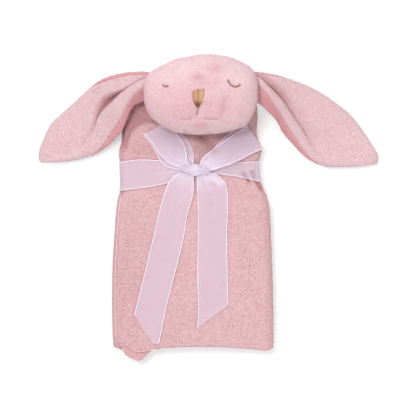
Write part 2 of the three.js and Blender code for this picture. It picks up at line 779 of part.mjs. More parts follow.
const lovey = new THREE.Group();
lovey.add(...blanketPieces());
lovey.add(...headPieces());
lovey.add(...earPieces('left', LEFT_EAR_SHARES, -LEFT_EAR_REACH, LEFT_EAR_DROP));
lovey.add(...earPieces('right', RIGHT_EAR_SHARES, RIGHT_EAR_REACH, RIGHT_EAR_DROP));
lovey.add(...ribbonPieces());

export default lovey;
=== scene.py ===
"""Comfort blanket lovey: a rabbit headed plush blanket, folded flat and tied with organza.

Sizes are millimetres, apart from those of fibres and threads and of cloth laid flat, which are
metres. The meshes are made in metres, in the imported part's frame: +Z is up from the table, +Y
runs from the hem to the head, and left is the -X side.
"""

import logging
import math
from dataclasses import dataclass
from enum import Enum

import bpy
import numpy as np
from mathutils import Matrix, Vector
from mathutils.bvhtree import BVHTree

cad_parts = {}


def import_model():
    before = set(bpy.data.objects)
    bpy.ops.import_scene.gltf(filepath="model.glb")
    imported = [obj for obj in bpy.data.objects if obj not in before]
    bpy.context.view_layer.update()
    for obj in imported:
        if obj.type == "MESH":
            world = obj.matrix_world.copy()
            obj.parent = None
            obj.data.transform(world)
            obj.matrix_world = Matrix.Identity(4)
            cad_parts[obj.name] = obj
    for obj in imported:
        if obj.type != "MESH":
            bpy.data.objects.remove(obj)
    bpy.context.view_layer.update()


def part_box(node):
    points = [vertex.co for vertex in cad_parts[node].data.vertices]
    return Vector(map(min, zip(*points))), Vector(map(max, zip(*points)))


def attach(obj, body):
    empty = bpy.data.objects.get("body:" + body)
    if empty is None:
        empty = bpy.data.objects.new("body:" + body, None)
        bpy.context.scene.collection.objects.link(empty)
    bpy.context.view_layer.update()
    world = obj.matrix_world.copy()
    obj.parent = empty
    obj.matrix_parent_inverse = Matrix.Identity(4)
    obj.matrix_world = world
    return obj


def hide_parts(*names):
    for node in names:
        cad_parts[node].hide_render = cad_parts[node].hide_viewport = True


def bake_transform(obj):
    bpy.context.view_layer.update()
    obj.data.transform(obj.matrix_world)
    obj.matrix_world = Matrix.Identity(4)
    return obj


Array = np.ndarray
Mesh = bpy.types.Mesh
Socket = bpy.types.NodeSocket
Piece = bpy.types.Object
Place = tuple[float, float]
Rows = tuple[tuple[float, ...], ...]

LOG = logging.getLogger("lovey")
MM = 0.001
SEED = 11
# Width of the ribbon, in metres.
RIBBON_WIDTH = 0.04
# Distances from a free edge at which the cloth's first rows of points lie, close together.
NEAR_EDGE = np.array([0, 0.35, 0.9, 1.7, 2.8])
# Distance from a free edge that stands for cloth with no free edge near.
INSIDE = 99
WHITE = (1, 1, 1, 1)


class Side(Enum):
    """Side of the toy as seen from above."""

    LEFT = "left"
    RIGHT = "right"


def linear(hex_colour: str) -> tuple[float, float, float, float]:
    """Turns an sRGB hex colour to the linear values a shader takes.

    Args:
        hex_colour: Colour as #rrggbb.

    Returns:
        Red, green, blue and alpha.
    """
    parts = [int(hex_colour[i : i + 2], 16) / 255 for i in (1, 3, 5)]
    lit = [c / 12.92 if c <= 0.04045 else ((c + 0.055) / 1.055) ** 2.4 for c in parts]
    return (lit[0], lit[1], lit[2], 1.0)


def smooth(low: float, high: float, value: Array) -> Array:
    """Eased step from 0 at low to 1 at high."""
    share = np.clip((value - low) / (high - low), 0, 1)
    return share * share * (3 - 2 * share)


def hump(x: Array, y: Array, centre: Place, spread: Place) -> Array:
    """Rounded hump of height 1 about a centre, with a spread along x and y."""
    return np.exp(-(((x - centre[0]) / spread[0]) ** 2) - ((y - centre[1]) / spread[1]) ** 2)


def crease(x: Array, y: Array, path: Rows, width: float) -> Array:
    """Depth share of a crease pressed along a path: 1 on it, fading over the width beside it."""
    depth = np.zeros(np.broadcast(x, y).shape)
    for (ax, ay), (bx, by) in zip(path[:-1], path[1:]):
        run_x, run_y = bx - ax, by - ay
        share = np.clip(((x - ax) * run_x + (y - ay) * run_y) / (run_x**2 + run_y**2), 0, 1)
        away = np.hypot(x - ax - share * run_x, y - ay - share * run_y)
        depth = np.maximum(depth, np.exp(-((away / width) ** 2)))
    return depth


def carve(x: Array, y: Array, humps: tuple, creases: tuple) -> Array:
    """Height of humps and creases together.

    Args:
        x: Places across.
        y: Places along.
        humps: Rise, centre and spread of each hump.
        creases: Rise, path and width of each crease.

    Returns:
        The height at each place.
    """
    height = np.zeros(np.broadcast(x, y).shape)
    for rise, centre, spread in humps:
        height = height + rise * hump(x, y, centre, spread)
    for rise, path, width in creases:
        height = height + rise * crease(x, y, path, width)
    return height


def ripple(x: Array, y: Array, length: float, seed: int) -> Array:
    """Gentle uneven waves, about -1 to 1, with crests about a length apart."""
    waves = 9
    chance = np.random.default_rng(seed)
    total = np.zeros(np.broadcast(x, y).shape)
    for _ in range(waves):
        angle, phase = chance.uniform(0, 2 * math.pi, 2)
        pitch = 2 * math.pi / (length * chance.uniform(0.7, 1.5))
        total = total + np.sin(pitch * (x * math.cos(angle) + y * math.sin(angle)) + phase)
    return total / (waves / 2)


def between(first: Array, second: Array, shares: Array) -> Array:
    """Grid of places from one line to another, at shares of the way across."""
    return first[:, None] + (second - first)[:, None] * shares[None, :, None]


class Curve:
    """Smooth curve through rows of a rising key and its values, looked up by the key."""

    def __init__(self, rows: Rows) -> None:
        """Works out the slopes that keep the curve from overshooting its rows."""
        data = np.array(rows, float)
        self.keys, self.values = data[:, 0], data[:, 1:]
        slope = np.diff(self.values, axis=0) / np.diff(self.keys)[:, None]
        self.slopes = np.zeros_like(self.values)
        self.slopes[0], self.slopes[-1] = slope[0], slope[-1]
        before, after = slope[:-1], slope[1:]
        level = before * after <= 0
        self.slopes[1:-1] = np.where(level, 0, 2 * before * after / np.where(level, 1, before + after))

    def __call__(self, key: Array | float) -> Array:
        """Values at the keys, with the values as the last axis."""
        key = np.clip(np.asarray(key, float), self.keys[0], self.keys[-1])
        at = np.clip(np.searchsorted(self.keys, key, side="right") - 1, 0, len(self.keys) - 2)
        width = (self.keys[at + 1] - self.keys[at])[..., None]
        t = (key - self.keys[at])[..., None] / width
        rise, fall = t * t * (3 - 2 * t), t * (1 - t)
        ends = self.values[at] * (1 - rise) + self.values[at + 1] * rise
        return ends + width * fall * ((1 - t) * self.slopes[at] - t * self.slopes[at + 1])


def look(rows: Rows, key: Array) -> Array:
    """First value of a smooth curve through rows, at the keys."""
    return Curve(rows)(key)[..., 0]


def trace(points: Rows, share: Array) -> Array:
    """Places on a smooth line through points, at shares of its length."""
    data = np.array(points, float)
    steps = np.linalg.norm(np.diff(data, axis=0), axis=1)
    keys = np.concatenate([[0], np.cumsum(steps)]) / steps.sum()
    return Curve([(s, *p) for s, p in zip(keys, data)])(share)


def link(name: str, mesh: Mesh, material: bpy.types.Material) -> Piece:
    """Puts a mesh in the scene as a named piece with a finish."""
    piece = bpy.data.objects.new(name, mesh)
    bpy.context.scene.collection.objects.link(piece)
    mesh.materials.clear()
    mesh.materials.append(material)
    return piece


def dress(piece: Piece, slot: str, body: str, *nodes: str) -> None:
    """Makes a piece ride a body, and hides the CAD nodes that it replaces."""
    if nodes:
        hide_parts(*nodes)
    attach(piece, body)


def set_share(mesh: Mesh, name: str, *values: Array) -> None:
    """Stores one number for each point of a mesh, from one or more arrays in a row."""
    numbers = np.concatenate([v.ravel() for v in values]).astype(np.float32)
    mesh.attributes.new(name, "FLOAT", "POINT").data.foreach_set("value", numbers)


def grid_faces(rows: int, columns: int, start: int = 0, closed: bool = False) -> list[list[int]]:
    """Four sided faces between the points of a grid.

    Args:
        rows: Rows of points.
        columns: Points in each row.
        start: Number of the grid's first point.
        closed: Whether each row ends where it began.

    Returns:
        Four point numbers for each face.
    """
    last = columns if closed else columns - 1
    i, j = np.meshgrid(np.arange(rows - 1), np.arange(last), indexing="ij")
    after = (j + 1) % columns
    corners = [i * columns + j, (i + 1) * columns + j, (i + 1) * columns + after, i * columns + after]
    return (start + np.stack([c.ravel() for c in corners], axis=1)).tolist()


def to_mesh(name: str, points: Array, faces: list, uvs: Array | None = None) -> Mesh:
    """Makes a smooth mesh, in metres.

    Args:
        name: Name of the mesh.
        points: Places of the points, in millimetres.
        faces: Point numbers of each face.
        uvs: Place of each point on the flat cloth, in metres.

    Returns:
        The mesh.
    """
    mesh = bpy.data.meshes.new(name)
    mesh.from_pydata((points.reshape(-1, 3) * MM).tolist(), [], faces)
    mesh.update()
    mesh.shade_smooth()
    if uvs is not None:
        layer = mesh.uv_layers.new(name="cloth")
        corner = np.empty(len(mesh.loops), np.int32)
        mesh.loops.foreach_get("vertex_index", corner)
        layer.data.foreach_set("uv", uvs.reshape(-1, 2)[corner].astype(np.float32).ravel())
    return mesh


def slab(name: str, front: Array, back: Array) -> Mesh:
    """Closed thin cloth between its outer and its inner grid of points, in millimetres."""
    rows, columns = front.shape[:2]
    count = rows * columns
    rim = [(0, j) for j in range(columns)] + [(i, columns - 1) for i in range(1, rows)]
    rim += [(rows - 1, j) for j in range(columns - 2, -1, -1)] + [(i, 0) for i in range(rows - 2, 0, -1)]
    ring = [i * columns + j for i, j in rim]
    far = [face[::-1] for face in grid_faces(rows, columns, count)]
    wall = [(a, b, b + count, a + count) for a, b in zip(ring, ring[1:] + ring[:1])]
    points = np.concatenate([front.reshape(-1, 3), back.reshape(-1, 3)])
    return outwards(to_mesh(name, points, [*grid_faces(rows, columns), *far, *wall]))


def outwards(mesh: Mesh) -> Mesh:
    """Turns a closed mesh's faces outwards, judged by its signed volume."""
    mesh.calc_loop_triangles()
    points = np.empty(len(mesh.vertices) * 3, np.float32)
    mesh.vertices.foreach_get("co", points)
    corners = np.empty(len(mesh.loop_triangles) * 3, np.int32)
    mesh.loop_triangles.foreach_get("vertices", corners)
    a, b, c = points.reshape(-1, 3)[corners.reshape(-1, 3)].transpose(1, 0, 2)
    if np.einsum("ij,ij->i", a, np.cross(b, c)).sum() < 0:
        mesh.flip_normals()
    return mesh


def normals(grid: Array) -> Array:
    """Unit normals of a grid of points."""
    normal = np.cross(np.gradient(grid, axis=0), np.gradient(grid, axis=1))
    return normal / np.maximum(np.linalg.norm(normal, axis=-1, keepdims=True), 1e-9)


def polylines(name: str, lines: list[Array]) -> Mesh:
    """Mesh of bare edges along lines, which are in millimetres."""
    edges, start = [], 0
    for line in lines:
        edges += [(start + i, start + i + 1) for i in range(len(line) - 1)]
        start += len(line)
    mesh = bpy.data.meshes.new(name)
    mesh.from_pydata((np.concatenate(lines) * MM).tolist(), edges, [])
    return mesh


class Nodes:
    """A tree of nodes, with short ways to add to it."""

    def __init__(self, tree: bpy.types.NodeTree) -> None:
        """Keeps the tree."""
        self.tree = tree

    def fill(self, node: bpy.types.Node, inputs: dict) -> None:
        """Sets or links a node's inputs, by their names or numbers."""
        for key, value in inputs.items():
            if isinstance(value, Socket):
                self.tree.links.new(value, node.inputs[key])
            else:
                node.inputs[key].default_value = value

    def add(self, kind: str, inputs: dict | None = None, **settings: object) -> bpy.types.NodeOutputs:
        """Adds a node.

        Args:
            kind: The node's type name.
            inputs: Value or socket for each input, by the input's name or number.
            **settings: Properties of the node.

        Returns:
            The node's outputs.
        """
        node = self.tree.nodes.new(kind)
        for name, value in settings.items():
            setattr(node, name, value)
        self.fill(node, inputs or {})
        return node.outputs

    def math(self, operation: str, first: object, second: object = 0.0) -> Socket:
        """Result of a sum with one or two values."""
        return self.add("ShaderNodeMath", {0: first, 1: second}, operation=operation)[0]

    def vector(self, x: object = 0.0, y: object = 0.0, z: object = 0.0) -> Socket:
        """Vector of three values."""
        return self.add("ShaderNodeCombineXYZ", {0: x, 1: y, 2: z})[0]

    def tint(self, share: object, first: object, second: object) -> Socket:
        """Colour at a share of the way between two colours."""
        return self.add("ShaderNodeMix", {0: share, 6: first, 7: second}, data_type="RGBA")[2]

    def span(self, value: Socket, source: tuple = (0, 1), target: tuple = (0, 1)) -> Socket:
        """Value carried from one range to another and held at its ends."""
        names = ("Value", "From Min", "From Max", "To Min", "To Max")
        return self.add("ShaderNodeMapRange", dict(zip(names, (value, *source, *target))))[0]

    def noise(self, place: Socket, scale: float, detail: float = 2.0, rough: float = 0.5) -> Socket:
        """Uneven pattern with a number of clumps to the metre."""
        inputs = {"Vector": place, "Scale": scale, "Detail": detail, "Roughness": rough}
        return self.add("ShaderNodeTexNoise", inputs)[0]

    def mark(self, name: str) -> Socket:
        """Number that a mesh stores at its points under a name."""
        return self.add("ShaderNodeAttribute", attribute_name=name)["Fac"]

    def bump(self, height: Socket, depth: float, strength: float) -> Socket:
        """Normal of a surface with a pattern's relief, whose depth is in millimetres."""
        inputs = {"Strength": strength, "Distance": depth * MM, "Height": height}
        return self.add("ShaderNodeBump", inputs)[0]

    def seen(self) -> Socket:
        """1 for what the camera, a reflection or a see-through piece shows."""
        rays = self.add("ShaderNodeLightPath")
        first = self.math("MAXIMUM", rays["Is Camera Ray"], rays["Is Glossy Ray"])
        return self.math("MAXIMUM", first, rays["Is Transmission Ray"])


@dataclass(frozen=True)
class Finish:
    """What every finish has: a name for what it is and the colours seen in it."""

    name: str
    colour: str
    deep: str
    light: str

    def make(self) -> bpy.types.Material:
        """Makes the material."""
        material = bpy.data.materials.new(self.name)
        material.use_nodes = True
        material.diffuse_color = linear(self.colour)
        nodes = Nodes(material.node_tree)
        nodes.fill(material.node_tree.nodes["Principled BSDF"], self.paint(nodes))
        return material

    def paint(self, nodes: Nodes) -> dict[str, object]:
        """Adds the finish's nodes and gives the shader's inputs."""
        raise NotImplementedError


@dataclass(frozen=True)
class PlushFinish(Finish):
    """Polyester plush: soft matt fibres in clumps that catch the light.

    Attributes:
        clump: Size of the fibre clumps.
        relief: Height of the clumps.
        patch: Size of the broad paler patches.
        patch_share: How far the patches turn to the light colour.
    """

    clump: float
    relief: float
    patch: float = 24.0
    patch_share: float = 0.3

    def paint(self, nodes: Nodes) -> dict[str, object]:
        """Adds the finish's nodes and gives the shader's inputs."""
        light = linear(self.light)
        place = nodes.add("ShaderNodeTexCoord")["Object"]
        fine = nodes.noise(place, 1 / (self.clump * MM), detail=3.0, rough=0.6)
        broad = nodes.noise(place, 1 / (self.patch * MM), rough=0.6)
        tone = nodes.tint(nodes.span(fine, (0.36, 0.64)), linear(self.colour), light)
        patches = nodes.math("MULTIPLY", nodes.span(broad, (0.35, 0.75)), self.patch_share)
        tone = nodes.tint(patches, tone, light)
        # The nap mark turns the colour towards the deep colour: painted shade, with real brushed patches on
        # the head's forehead.
        return {
            "Base Color": nodes.tint(nodes.mark("nap"), tone, linear(self.deep)),
            "Normal": nodes.bump(fine, self.relief, strength=0.5),
            "Roughness": 0.95,
            "Specular IOR Level": 0.1,
            "Sheen Weight": 0.35,
            "Sheen Roughness": 0.45,
            "Sheen Tint": light,
        }


@dataclass(frozen=True)
class OrganzaFinish(Finish):
    """Polyester organza: stiff sheer plain weave with a pearly glint, whiter where it is gathered.

    Attributes:
        cover: Share of the cloth that the threads cover where it lies flat.
        weave: How far that share swings between the threads and the gaps.
        gathered: Share that they cover where it is gathered.
        pitch: Thread spacing drawn. The real 0.25 mm is too fine to show.
        streaks: Streaks of the gathers to the metre along and across the cloth.
        drift: Clumps to the metre of the slow change between its two colours.
    """

    cover: float = 0.47
    weave: float = 0.05
    gathered: float = 0.88
    pitch: float = 1.1
    streaks: tuple[float, float, float] = (14, 430, 1)
    drift: float = 60.0

    def paint(self, nodes: Nodes) -> dict[str, object]:
        """Adds the finish's nodes and gives the shader's inputs."""
        light = linear(self.light)
        place = nodes.add("ShaderNodeUVMap", uv_map="cloth")["UV"]
        threads = {"Vector": place, "Scale": 2 / (self.pitch * MM) / (2 * math.pi)}
        across, along = (nodes.add("ShaderNodeTexWave", threads, bands_direction=a)[1] for a in "XY")
        ends = (self.cover - self.weave, self.cover + self.weave)
        flat = nodes.span(nodes.math("MAXIMUM", across, along), target=ends)
        drawn = nodes.add("ShaderNodeVectorMath", {0: place, 1: self.streaks}, operation="MULTIPLY")[0]
        streak = nodes.span(nodes.noise(drawn, 1.0), (0.36, 0.64), (0.35, 1.0))
        gather = nodes.math("MULTIPLY", nodes.mark("gather"), streak)
        drift = nodes.noise(place, self.drift)
        tone = nodes.tint(drift, linear(self.deep), linear(self.colour))
        return {
            "Base Color": nodes.tint(gather, tone, light),
            "Alpha": nodes.add("ShaderNodeMix", {0: gather, 2: flat, 3: self.gathered})[0],
            "Roughness": 0.55,
            "Sheen Weight": 0.2,
            "Sheen Tint": light,
        }


@dataclass(frozen=True)
class ThreadFinish(Finish):
    """Rayon or polyester thread: smooth filaments with a silky glint and a fine twist.

    Attributes:
        tip: Colour that the threads turn to where the mesh marks them as tip, or empty for none.
        strands: Streaks of the twist to the metre.
    """

    tip: str = ""
    strands: float = 1100.0

    def paint(self, nodes: Nodes) -> dict[str, object]:
        """Adds the finish's nodes and gives the shader's inputs."""
        strand = nodes.noise(nodes.add("ShaderNodeTexCoord")["Object"], self.strands)
        tone = nodes.tint(strand, linear(self.deep), linear(self.light))
        if self.tip:
            tone = nodes.tint(nodes.mark("tip"), tone, linear(self.tip))
        bump = nodes.bump(strand, depth=0.1, strength=0.4)
        return {"Base Color": tone, "Normal": bump, "Roughness": 0.45, "Sheen Weight": 0.15}


class Finishes:
    """The finishes of the lovey, made once and shared by its pieces."""

    def __init__(self) -> None:
        """Makes every material."""
        # Each plush finish's deep colour is the painted shade that its nap mark turns it to.
        self.curled = PlushFinish("curled_pile_polyester", "#c89a9e", "#b27a7f", "#d9b8bb", 1.8, 0.3).make()
        self.head = PlushFinish("brushed_plush_polyester", "#dcbbc1", "#d0969d", "#e7ced3", 1.4, 0.2).make()
        self.ear = PlushFinish("ear_plush_polyester", "#d0acb1", "#ba878c", "#e0c4c8", 1.4, 0.3).make()
        self.backing = PlushFinish("ear_backing_polyester", "#cc9196", "#bc8388", "#d7a2a7", 1.8, 0.3).make()
        self.lining = PlushFinish("lining_plush_polyester", "#ce9da3", "#c38f95", "#d9b1b5", 1.6, 0.4).make()
        # The turned edge is paler than the lining as a painted highlight along its rolled rim.
        self.edge = PlushFinish("turned_edge_polyester", "#e0bcc1", "#dab5b9", "#e9cdd0", 1.6, 0.3).make()
        self.filling = PlushFinish("hollowfibre_filling", "#f5f3ee", "#dedad2", "#ffffff", 6.0, 2.0).make()
        self.organza = OrganzaFinish("polyester_organza", "#edd9ea", "#e6cfe2", "#f4ecfd").make()
        self.selvedge = ThreadFinish("selvedge_thread", "#f6eefa", "#efe4f5", "#fdf9ff").make()
        self.tan = ThreadFinish("tan_rayon_thread", "#cd9a72", "#b58058", "#dfb592", "#6f4228").make()
        self.mauve = ThreadFinish("rose_thread", "#b98a8c", "#a37679", "#c99b9c").make()


class Trees:
    """Geometry Nodes trees for what repeats: pile, thread along a line, and stitches."""

    def __init__(self) -> None:
        """Builds the three trees."""
        self.pile, self.thread, self.stitch = self.make_pile(), self.make_thread(), self.make_stitch()

    def start(self, name: str, sizes: dict[str, float]) -> tuple[Nodes, bpy.types.NodeOutputs]:
        """Makes a tree with named inputs for its sizes.

        Args:
            name: Name of the tree.
            sizes: Each input's name and usual value.

        Returns:
            The tree's nodes and what its inputs give.
        """
        tree = bpy.data.node_groups.new(name, "GeometryNodeTree")
        tree.interface.new_socket("Geometry", in_out="INPUT", socket_type="NodeSocketGeometry")
        for label, value in sizes.items():
            kind = "NodeSocketInt" if label == "Seed" else "NodeSocketFloat"
            tree.interface.new_socket(label, in_out="INPUT", socket_type=kind).default_value = value
        tree.interface.new_socket("Finish", in_out="INPUT", socket_type="NodeSocketMaterial")
        tree.interface.new_socket("Geometry", in_out="OUTPUT", socket_type="NodeSocketGeometry")
        nodes = Nodes(tree)
        return nodes, nodes.add("NodeGroupInput")

    def end(self, nodes: Nodes, geometry: Socket, finish: Socket, soft: bool = True) -> bpy.types.NodeTree:
        """Ends a tree in real, finished geometry, smooth unless it is flat fibre."""
        real = nodes.add("GeometryNodeRealizeInstances", {"Geometry": geometry})[0]
        shaded = nodes.add("GeometryNodeSetShadeSmooth", {"Geometry": real, "Shade Smooth": soft})[0]
        done = nodes.add("GeometryNodeSetMaterial", {"Geometry": shaded, "Material": finish})[0]
        nodes.add("NodeGroupOutput", {0: done})
        return nodes.tree

    def tube(self, nodes: Nodes, line: Socket, slim: Socket, ring: Socket, caps: bool) -> Socket:
        """Tube along a line, with a thinness along it, a cross-section and open or closed ends."""
        shaped = nodes.add("GeometryNodeSetCurveRadius", {"Curve": line, "Radius": slim})[0]
        parts = {"Curve": shaped, "Profile Curve": ring, "Fill Caps": caps}
        return nodes.add("GeometryNodeCurveToMesh", parts)[0]

    def make_pile(self) -> bpy.types.NodeTree:
        """Tufts scattered over a cloth: low arches of fibre whose ends are sunk in it."""
        sizes = {"Density": 100000.0, "Reach": 0.003, "Rise": 0.0008, "Sink": 0.0004}
        sizes |= {"Thickness": 0.0005, "Lean": 0.4, "Seed": SEED}
        nodes, size = self.start("pile", sizes)
        mask = nodes.add("GeometryNodeInputNamedAttribute", {"Name": "pile"}, data_type="FLOAT")[0]
        dense = nodes.math("MULTIPLY", mask, size["Density"])
        field = {"Mesh": size["Geometry"], "Density": dense, "Seed": size["Seed"]}
        spots = nodes.add("GeometryNodeDistributePointsOnFaces", field)
        root, tip = (nodes.math("MULTIPLY", size["Reach"], share) for share in (-0.5, 0.5))
        down = nodes.math("MULTIPLY", size["Sink"], -1.0)
        arch = {"Resolution": 3, "Start": nodes.vector(root, z=down), "End": nodes.vector(tip, z=down)}
        arch["Middle"] = nodes.vector(z=size["Rise"])
        line = nodes.add("GeometryNodeCurveQuadraticBezier", arch)[0]
        slim = nodes.span(nodes.add("GeometryNodeSplineParameter")["Factor"], target=(1.0, 0.45))
        profile = {"Resolution": 3, "Radius": size["Thickness"]}
        ring = nodes.add("GeometryNodeCurvePrimitiveCircle", profile)[0]
        flat_up = {"Geometry": ring, "Rotation": (0, 0, math.pi / 2)}
        curl = self.tube(nodes, line, slim, nodes.add("GeometryNodeTransform", flat_up)[0], False)
        lean, back = size["Lean"], nodes.math("MULTIPLY", size["Lean"], -1.0)
        low, high = nodes.vector(back, back, -math.pi), nodes.vector(lean, lean, math.pi)
        chance = {0: low, 1: high, "Seed": size["Seed"]}
        turn = nodes.add("FunctionNodeRandomValue", chance, data_type="FLOAT_VECTOR")[0]
        chance = {2: 0.7, 3: 1.25, "Seed": size["Seed"]}
        bigger = nodes.add("FunctionNodeRandomValue", chance, data_type="FLOAT")[1]
        places = {"Points": spots["Points"], "Instance": curl, "Rotation": spots["Rotation"], "Scale": bigger}
        placed = nodes.add("GeometryNodeInstanceOnPoints", places)[0]
        turned = {"Instances": placed, "Rotation": turn, "Local Space": True}
        leaning = nodes.add("GeometryNodeRotateInstances", turned)[0]
        return self.end(nodes, leaning, size["Finish"], soft=False)

    def make_thread(self) -> bpy.types.NodeTree:
        """A round thread along each line, thinner at its ends by the set share."""
        nodes, size = self.start("thread", {"Radius": 0.0005, "Sides": 6.0, "End": 1.0})
        line = nodes.add("GeometryNodeMeshToCurve", {"Mesh": size["Geometry"]})[0]
        along = nodes.add("GeometryNodeSplineParameter")["Factor"]
        away = nodes.math("ABSOLUTE", nodes.math("SUBTRACT", along, 0.5))
        slim = nodes.span(away, (0.42, 0.5), (1.0, size["End"]))
        profile = {"Resolution": size["Sides"], "Radius": size["Radius"]}
        ring = nodes.add("GeometryNodeCurvePrimitiveCircle", profile)[0]
        return self.end(nodes, self.tube(nodes, line, slim, ring, True), size["Finish"])

    def make_stitch(self) -> bpy.types.NodeTree:
        """Short slanted stitches laid side by side along a line."""
        sizes = {"Spacing": 0.0007, "Length": 0.002, "Radius": 0.0004, "Slant": 0.5}
        nodes, size = self.start("stitch", sizes)
        line = nodes.add("GeometryNodeMeshToCurve", {"Mesh": size["Geometry"]})[0]
        evenly = {"Curve": line, "Length": size["Spacing"]}
        spots = nodes.add("GeometryNodeCurveToPoints", evenly, mode="LENGTH")
        ball = {"Segments": 6, "Rings": 5, "Radius": size["Radius"]}
        bead = nodes.add("GeometryNodeMeshUVSphere", ball)[0]
        half = nodes.math("MULTIPLY", nodes.math("DIVIDE", size["Length"], size["Radius"]), 0.5)
        onward = {"Vector": spots["Tangent"]}
        facing = nodes.add("FunctionNodeAlignEulerToVector", onward, axis="Y", pivot_axis="Z")[0]
        places = {"Points": spots["Points"], "Instance": bead, "Rotation": facing}
        places["Scale"] = nodes.vector(half, 1.0, 1.0)
        placed = nodes.add("GeometryNodeInstanceOnPoints", places)[0]
        turned = {"Instances": placed, "Rotation": nodes.vector(z=size["Slant"]), "Local Space": True}
        slanted = nodes.add("GeometryNodeRotateInstances", turned)[0]
        return self.end(nodes, slanted, size["Finish"])

    def grow(
        self,
        tree: bpy.types.NodeTree,
        name: str,
        mesh: Mesh,
        material: bpy.types.Material,
        sizes: dict[str, float],
    ) -> Piece:
        """Runs a tree on a mesh and keeps the result as a plain piece.

        Args:
            tree: The tree.
            name: Name of the new piece.
            mesh: What the tree works on.
            material: Finish of the new piece.
            sizes: Value of each named input.

        Returns:
            The new piece.
        """
        carrier = bpy.data.objects.new(name + "_carrier", mesh)
        bpy.context.scene.collection.objects.link(carrier)
        modifier = carrier.modifiers.new(name, "NODES")
        modifier.node_group = tree
        values = {**sizes, "Finish": material}
        for item in tree.interface.items_tree:
            if item.in_out == "INPUT" and item.name in values:
                modifier[item.identifier] = values[item.name]
        graph = bpy.context.evaluated_depsgraph_get()
        made = bpy.data.meshes.new_from_object(carrier.evaluated_get(graph), depsgraph=graph)
        bpy.data.objects.remove(carrier)
        made.name = name
        return link(name, made, material)


@dataclass
class Bundle:
    """The folded blanket's shape: how the flat stack of layers lies in the tied bundle.

    Attributes:
        width: Width of the folded stack.
        stack: Height of the folded stack where nothing presses it.
        sides: Place along, left edge, right edge and height of the bundle, from the hem up.
        lift: How far the ribbon lifts the waist off the table, by the place along.
        flatten: Share of the height that is lost at the sides.
    """

    width: float = 222.0
    stack: float = 34.3
    sides: Rows = (
        (-214, -132.0, 86.6, 26.0), (-195, -133.2, 87.2, 28.0), (-172, -134.6, 87.4, 31.0),
        (-128, -135.2, 86.8, 34.0), (-82, -134.6, 85.6, 35.0), (-45, -132.4, 84.2, 35.6),
        (-7, -129.8, 82.6, 34.6), (12, -127.2, 79.0, 32.0), (23, -123.6, 74.5, 28.4),
        (33, -123.0, 70.0, 26.9), (42, -123.2, 67.4, 26.8), (61, -124.0, 66.4, 26.8),
        (70, -125.6, 69.4, 27.8), (80, -125.0, 71.4, 27.6), (89, -122.2, 68.0, 26.0),
        (97, -121.6, 64.6, 24.2), (104, -121.4, 64.4, 22.8), (120, -120.8, 65.4, 21.4),
        (148, -119.5, 63.8, 20.6),
    )
    lift: Rows = ((-220, 0), (-34, 0), (21, 2.2), (63, 2.2), (82, 0), (150, 0))
    flatten: float = 0.22

    def neck(self, x: Array, y: Array) -> Array:
        """1 in the low cloth of the neck, outside the puffed left shoulder."""
        shoulder = ((x + 82) / 33) ** 2 + ((y - 78) / 38) ** 2
        return smooth(0.86, 1.2, shoulder) * smooth(-60, -78, x) * smooth(72, 88, y)

    def chin(self, x: Array, y: Array) -> Array:
        """1 in the fold that is drawn in under the chin."""
        return crease(x, y, ((-15, 104), (-8, 93), (6, 82)), width=6.0)

    def waist(self, x: Array, y: Array) -> Array:
        """1 in the two short creases that the ribbon pinches at the right."""
        first = crease(x, y, ((58.5, 48), (64, 36), (70.5, 24)), width=2.3)
        second = crease(x, y, ((47, 46), (51, 40), (53.5, 35.5)), width=2.0)
        return np.maximum(first, second)

    def relief(self, x: Array, y: Array) -> Array:
        """Height of the front layer's puffs, pleats and creases above the plain bundle."""
        height = 0.9 * ripple(x, y, length=85, seed=3) * smooth(-210, -150, y)
        pleats = ripple(x, y * 0.18, length=17, seed=5)
        for rise, away, reach in ((1.2, 22 - y, 24), (0.9, y - 62, 16)):
            height = height + rise * pleats * np.exp(-((away / reach) ** 2)) * smooth(-6, 4, away)
        height = height + 2.0 * hump(x, y, (-90, 86), (26, 20)) - 6.5 * self.neck(x, y)
        height = height - 3.6 * self.chin(x, y) - 4.5 * self.waist(x, y)
        height = height + 2.4 * crease(x, y, ((-30, 100), (-20, 80), (-17, 66)), width=7.0)
        height = height - 1.4 * crease(x, y, ((66, 28), (60, 10), (58, -4)), width=4.0)
        return height + 1.0 * hump(x, y, (60, -6), (14, 26))

    def shade(self, x: Array, y: Array) -> Array:
        """Painted shade on the blanket's cloth, from 0 to 1: under the head and ear, in the chin fold and in
        the waist creases.
        """
        # Painted half-shade on the left shoulder under the head and ear, and a darker patch at the lower
        # left.
        darkening = 0.3 * hump(x, y, (-96, 82), (30, 16)) + 0.16 * hump(x, y, (-112, -110), (40, 80))
        return np.clip(0.6 * self.neck(x, y) + 0.4 * self.chin(x, y) + self.waist(x, y) + darkening, 0, 1)

    def crown(self, share: Array) -> Array:
        """Share of the height that is left at a place across."""
        edge = np.clip(np.abs(2 * share - 1), 0, 1)
        return 1 - self.flatten * edge**3

    def place(self, across: Array, y: Array, up: Array) -> Array:
        """Turns places in the flat stack to places in the bundle."""
        side = Curve(self.sides)(y)
        share = across / self.width
        x = side[..., 0] + share * (side[..., 1] - side[..., 0])
        z = look(self.lift, y) + up / self.stack * side[..., 2] * self.crown(share)
        z = z + self.relief(x, y) * np.clip(up / self.stack, 0, 1)
        return np.stack([x, np.broadcast_to(y, x.shape), np.maximum(z, 0)], axis=-1)

    def front(self, x: Array, y: Array) -> Array:
        """Height of the bundle's front face over places on the table."""
        side = Curve(self.sides)(y)
        share = (x - side[..., 0]) / (side[..., 1] - side[..., 0])
        z = look(self.lift, y) + side[..., 2] * self.crown(np.clip(share, 0, 1))
        return z + self.relief(x, y)


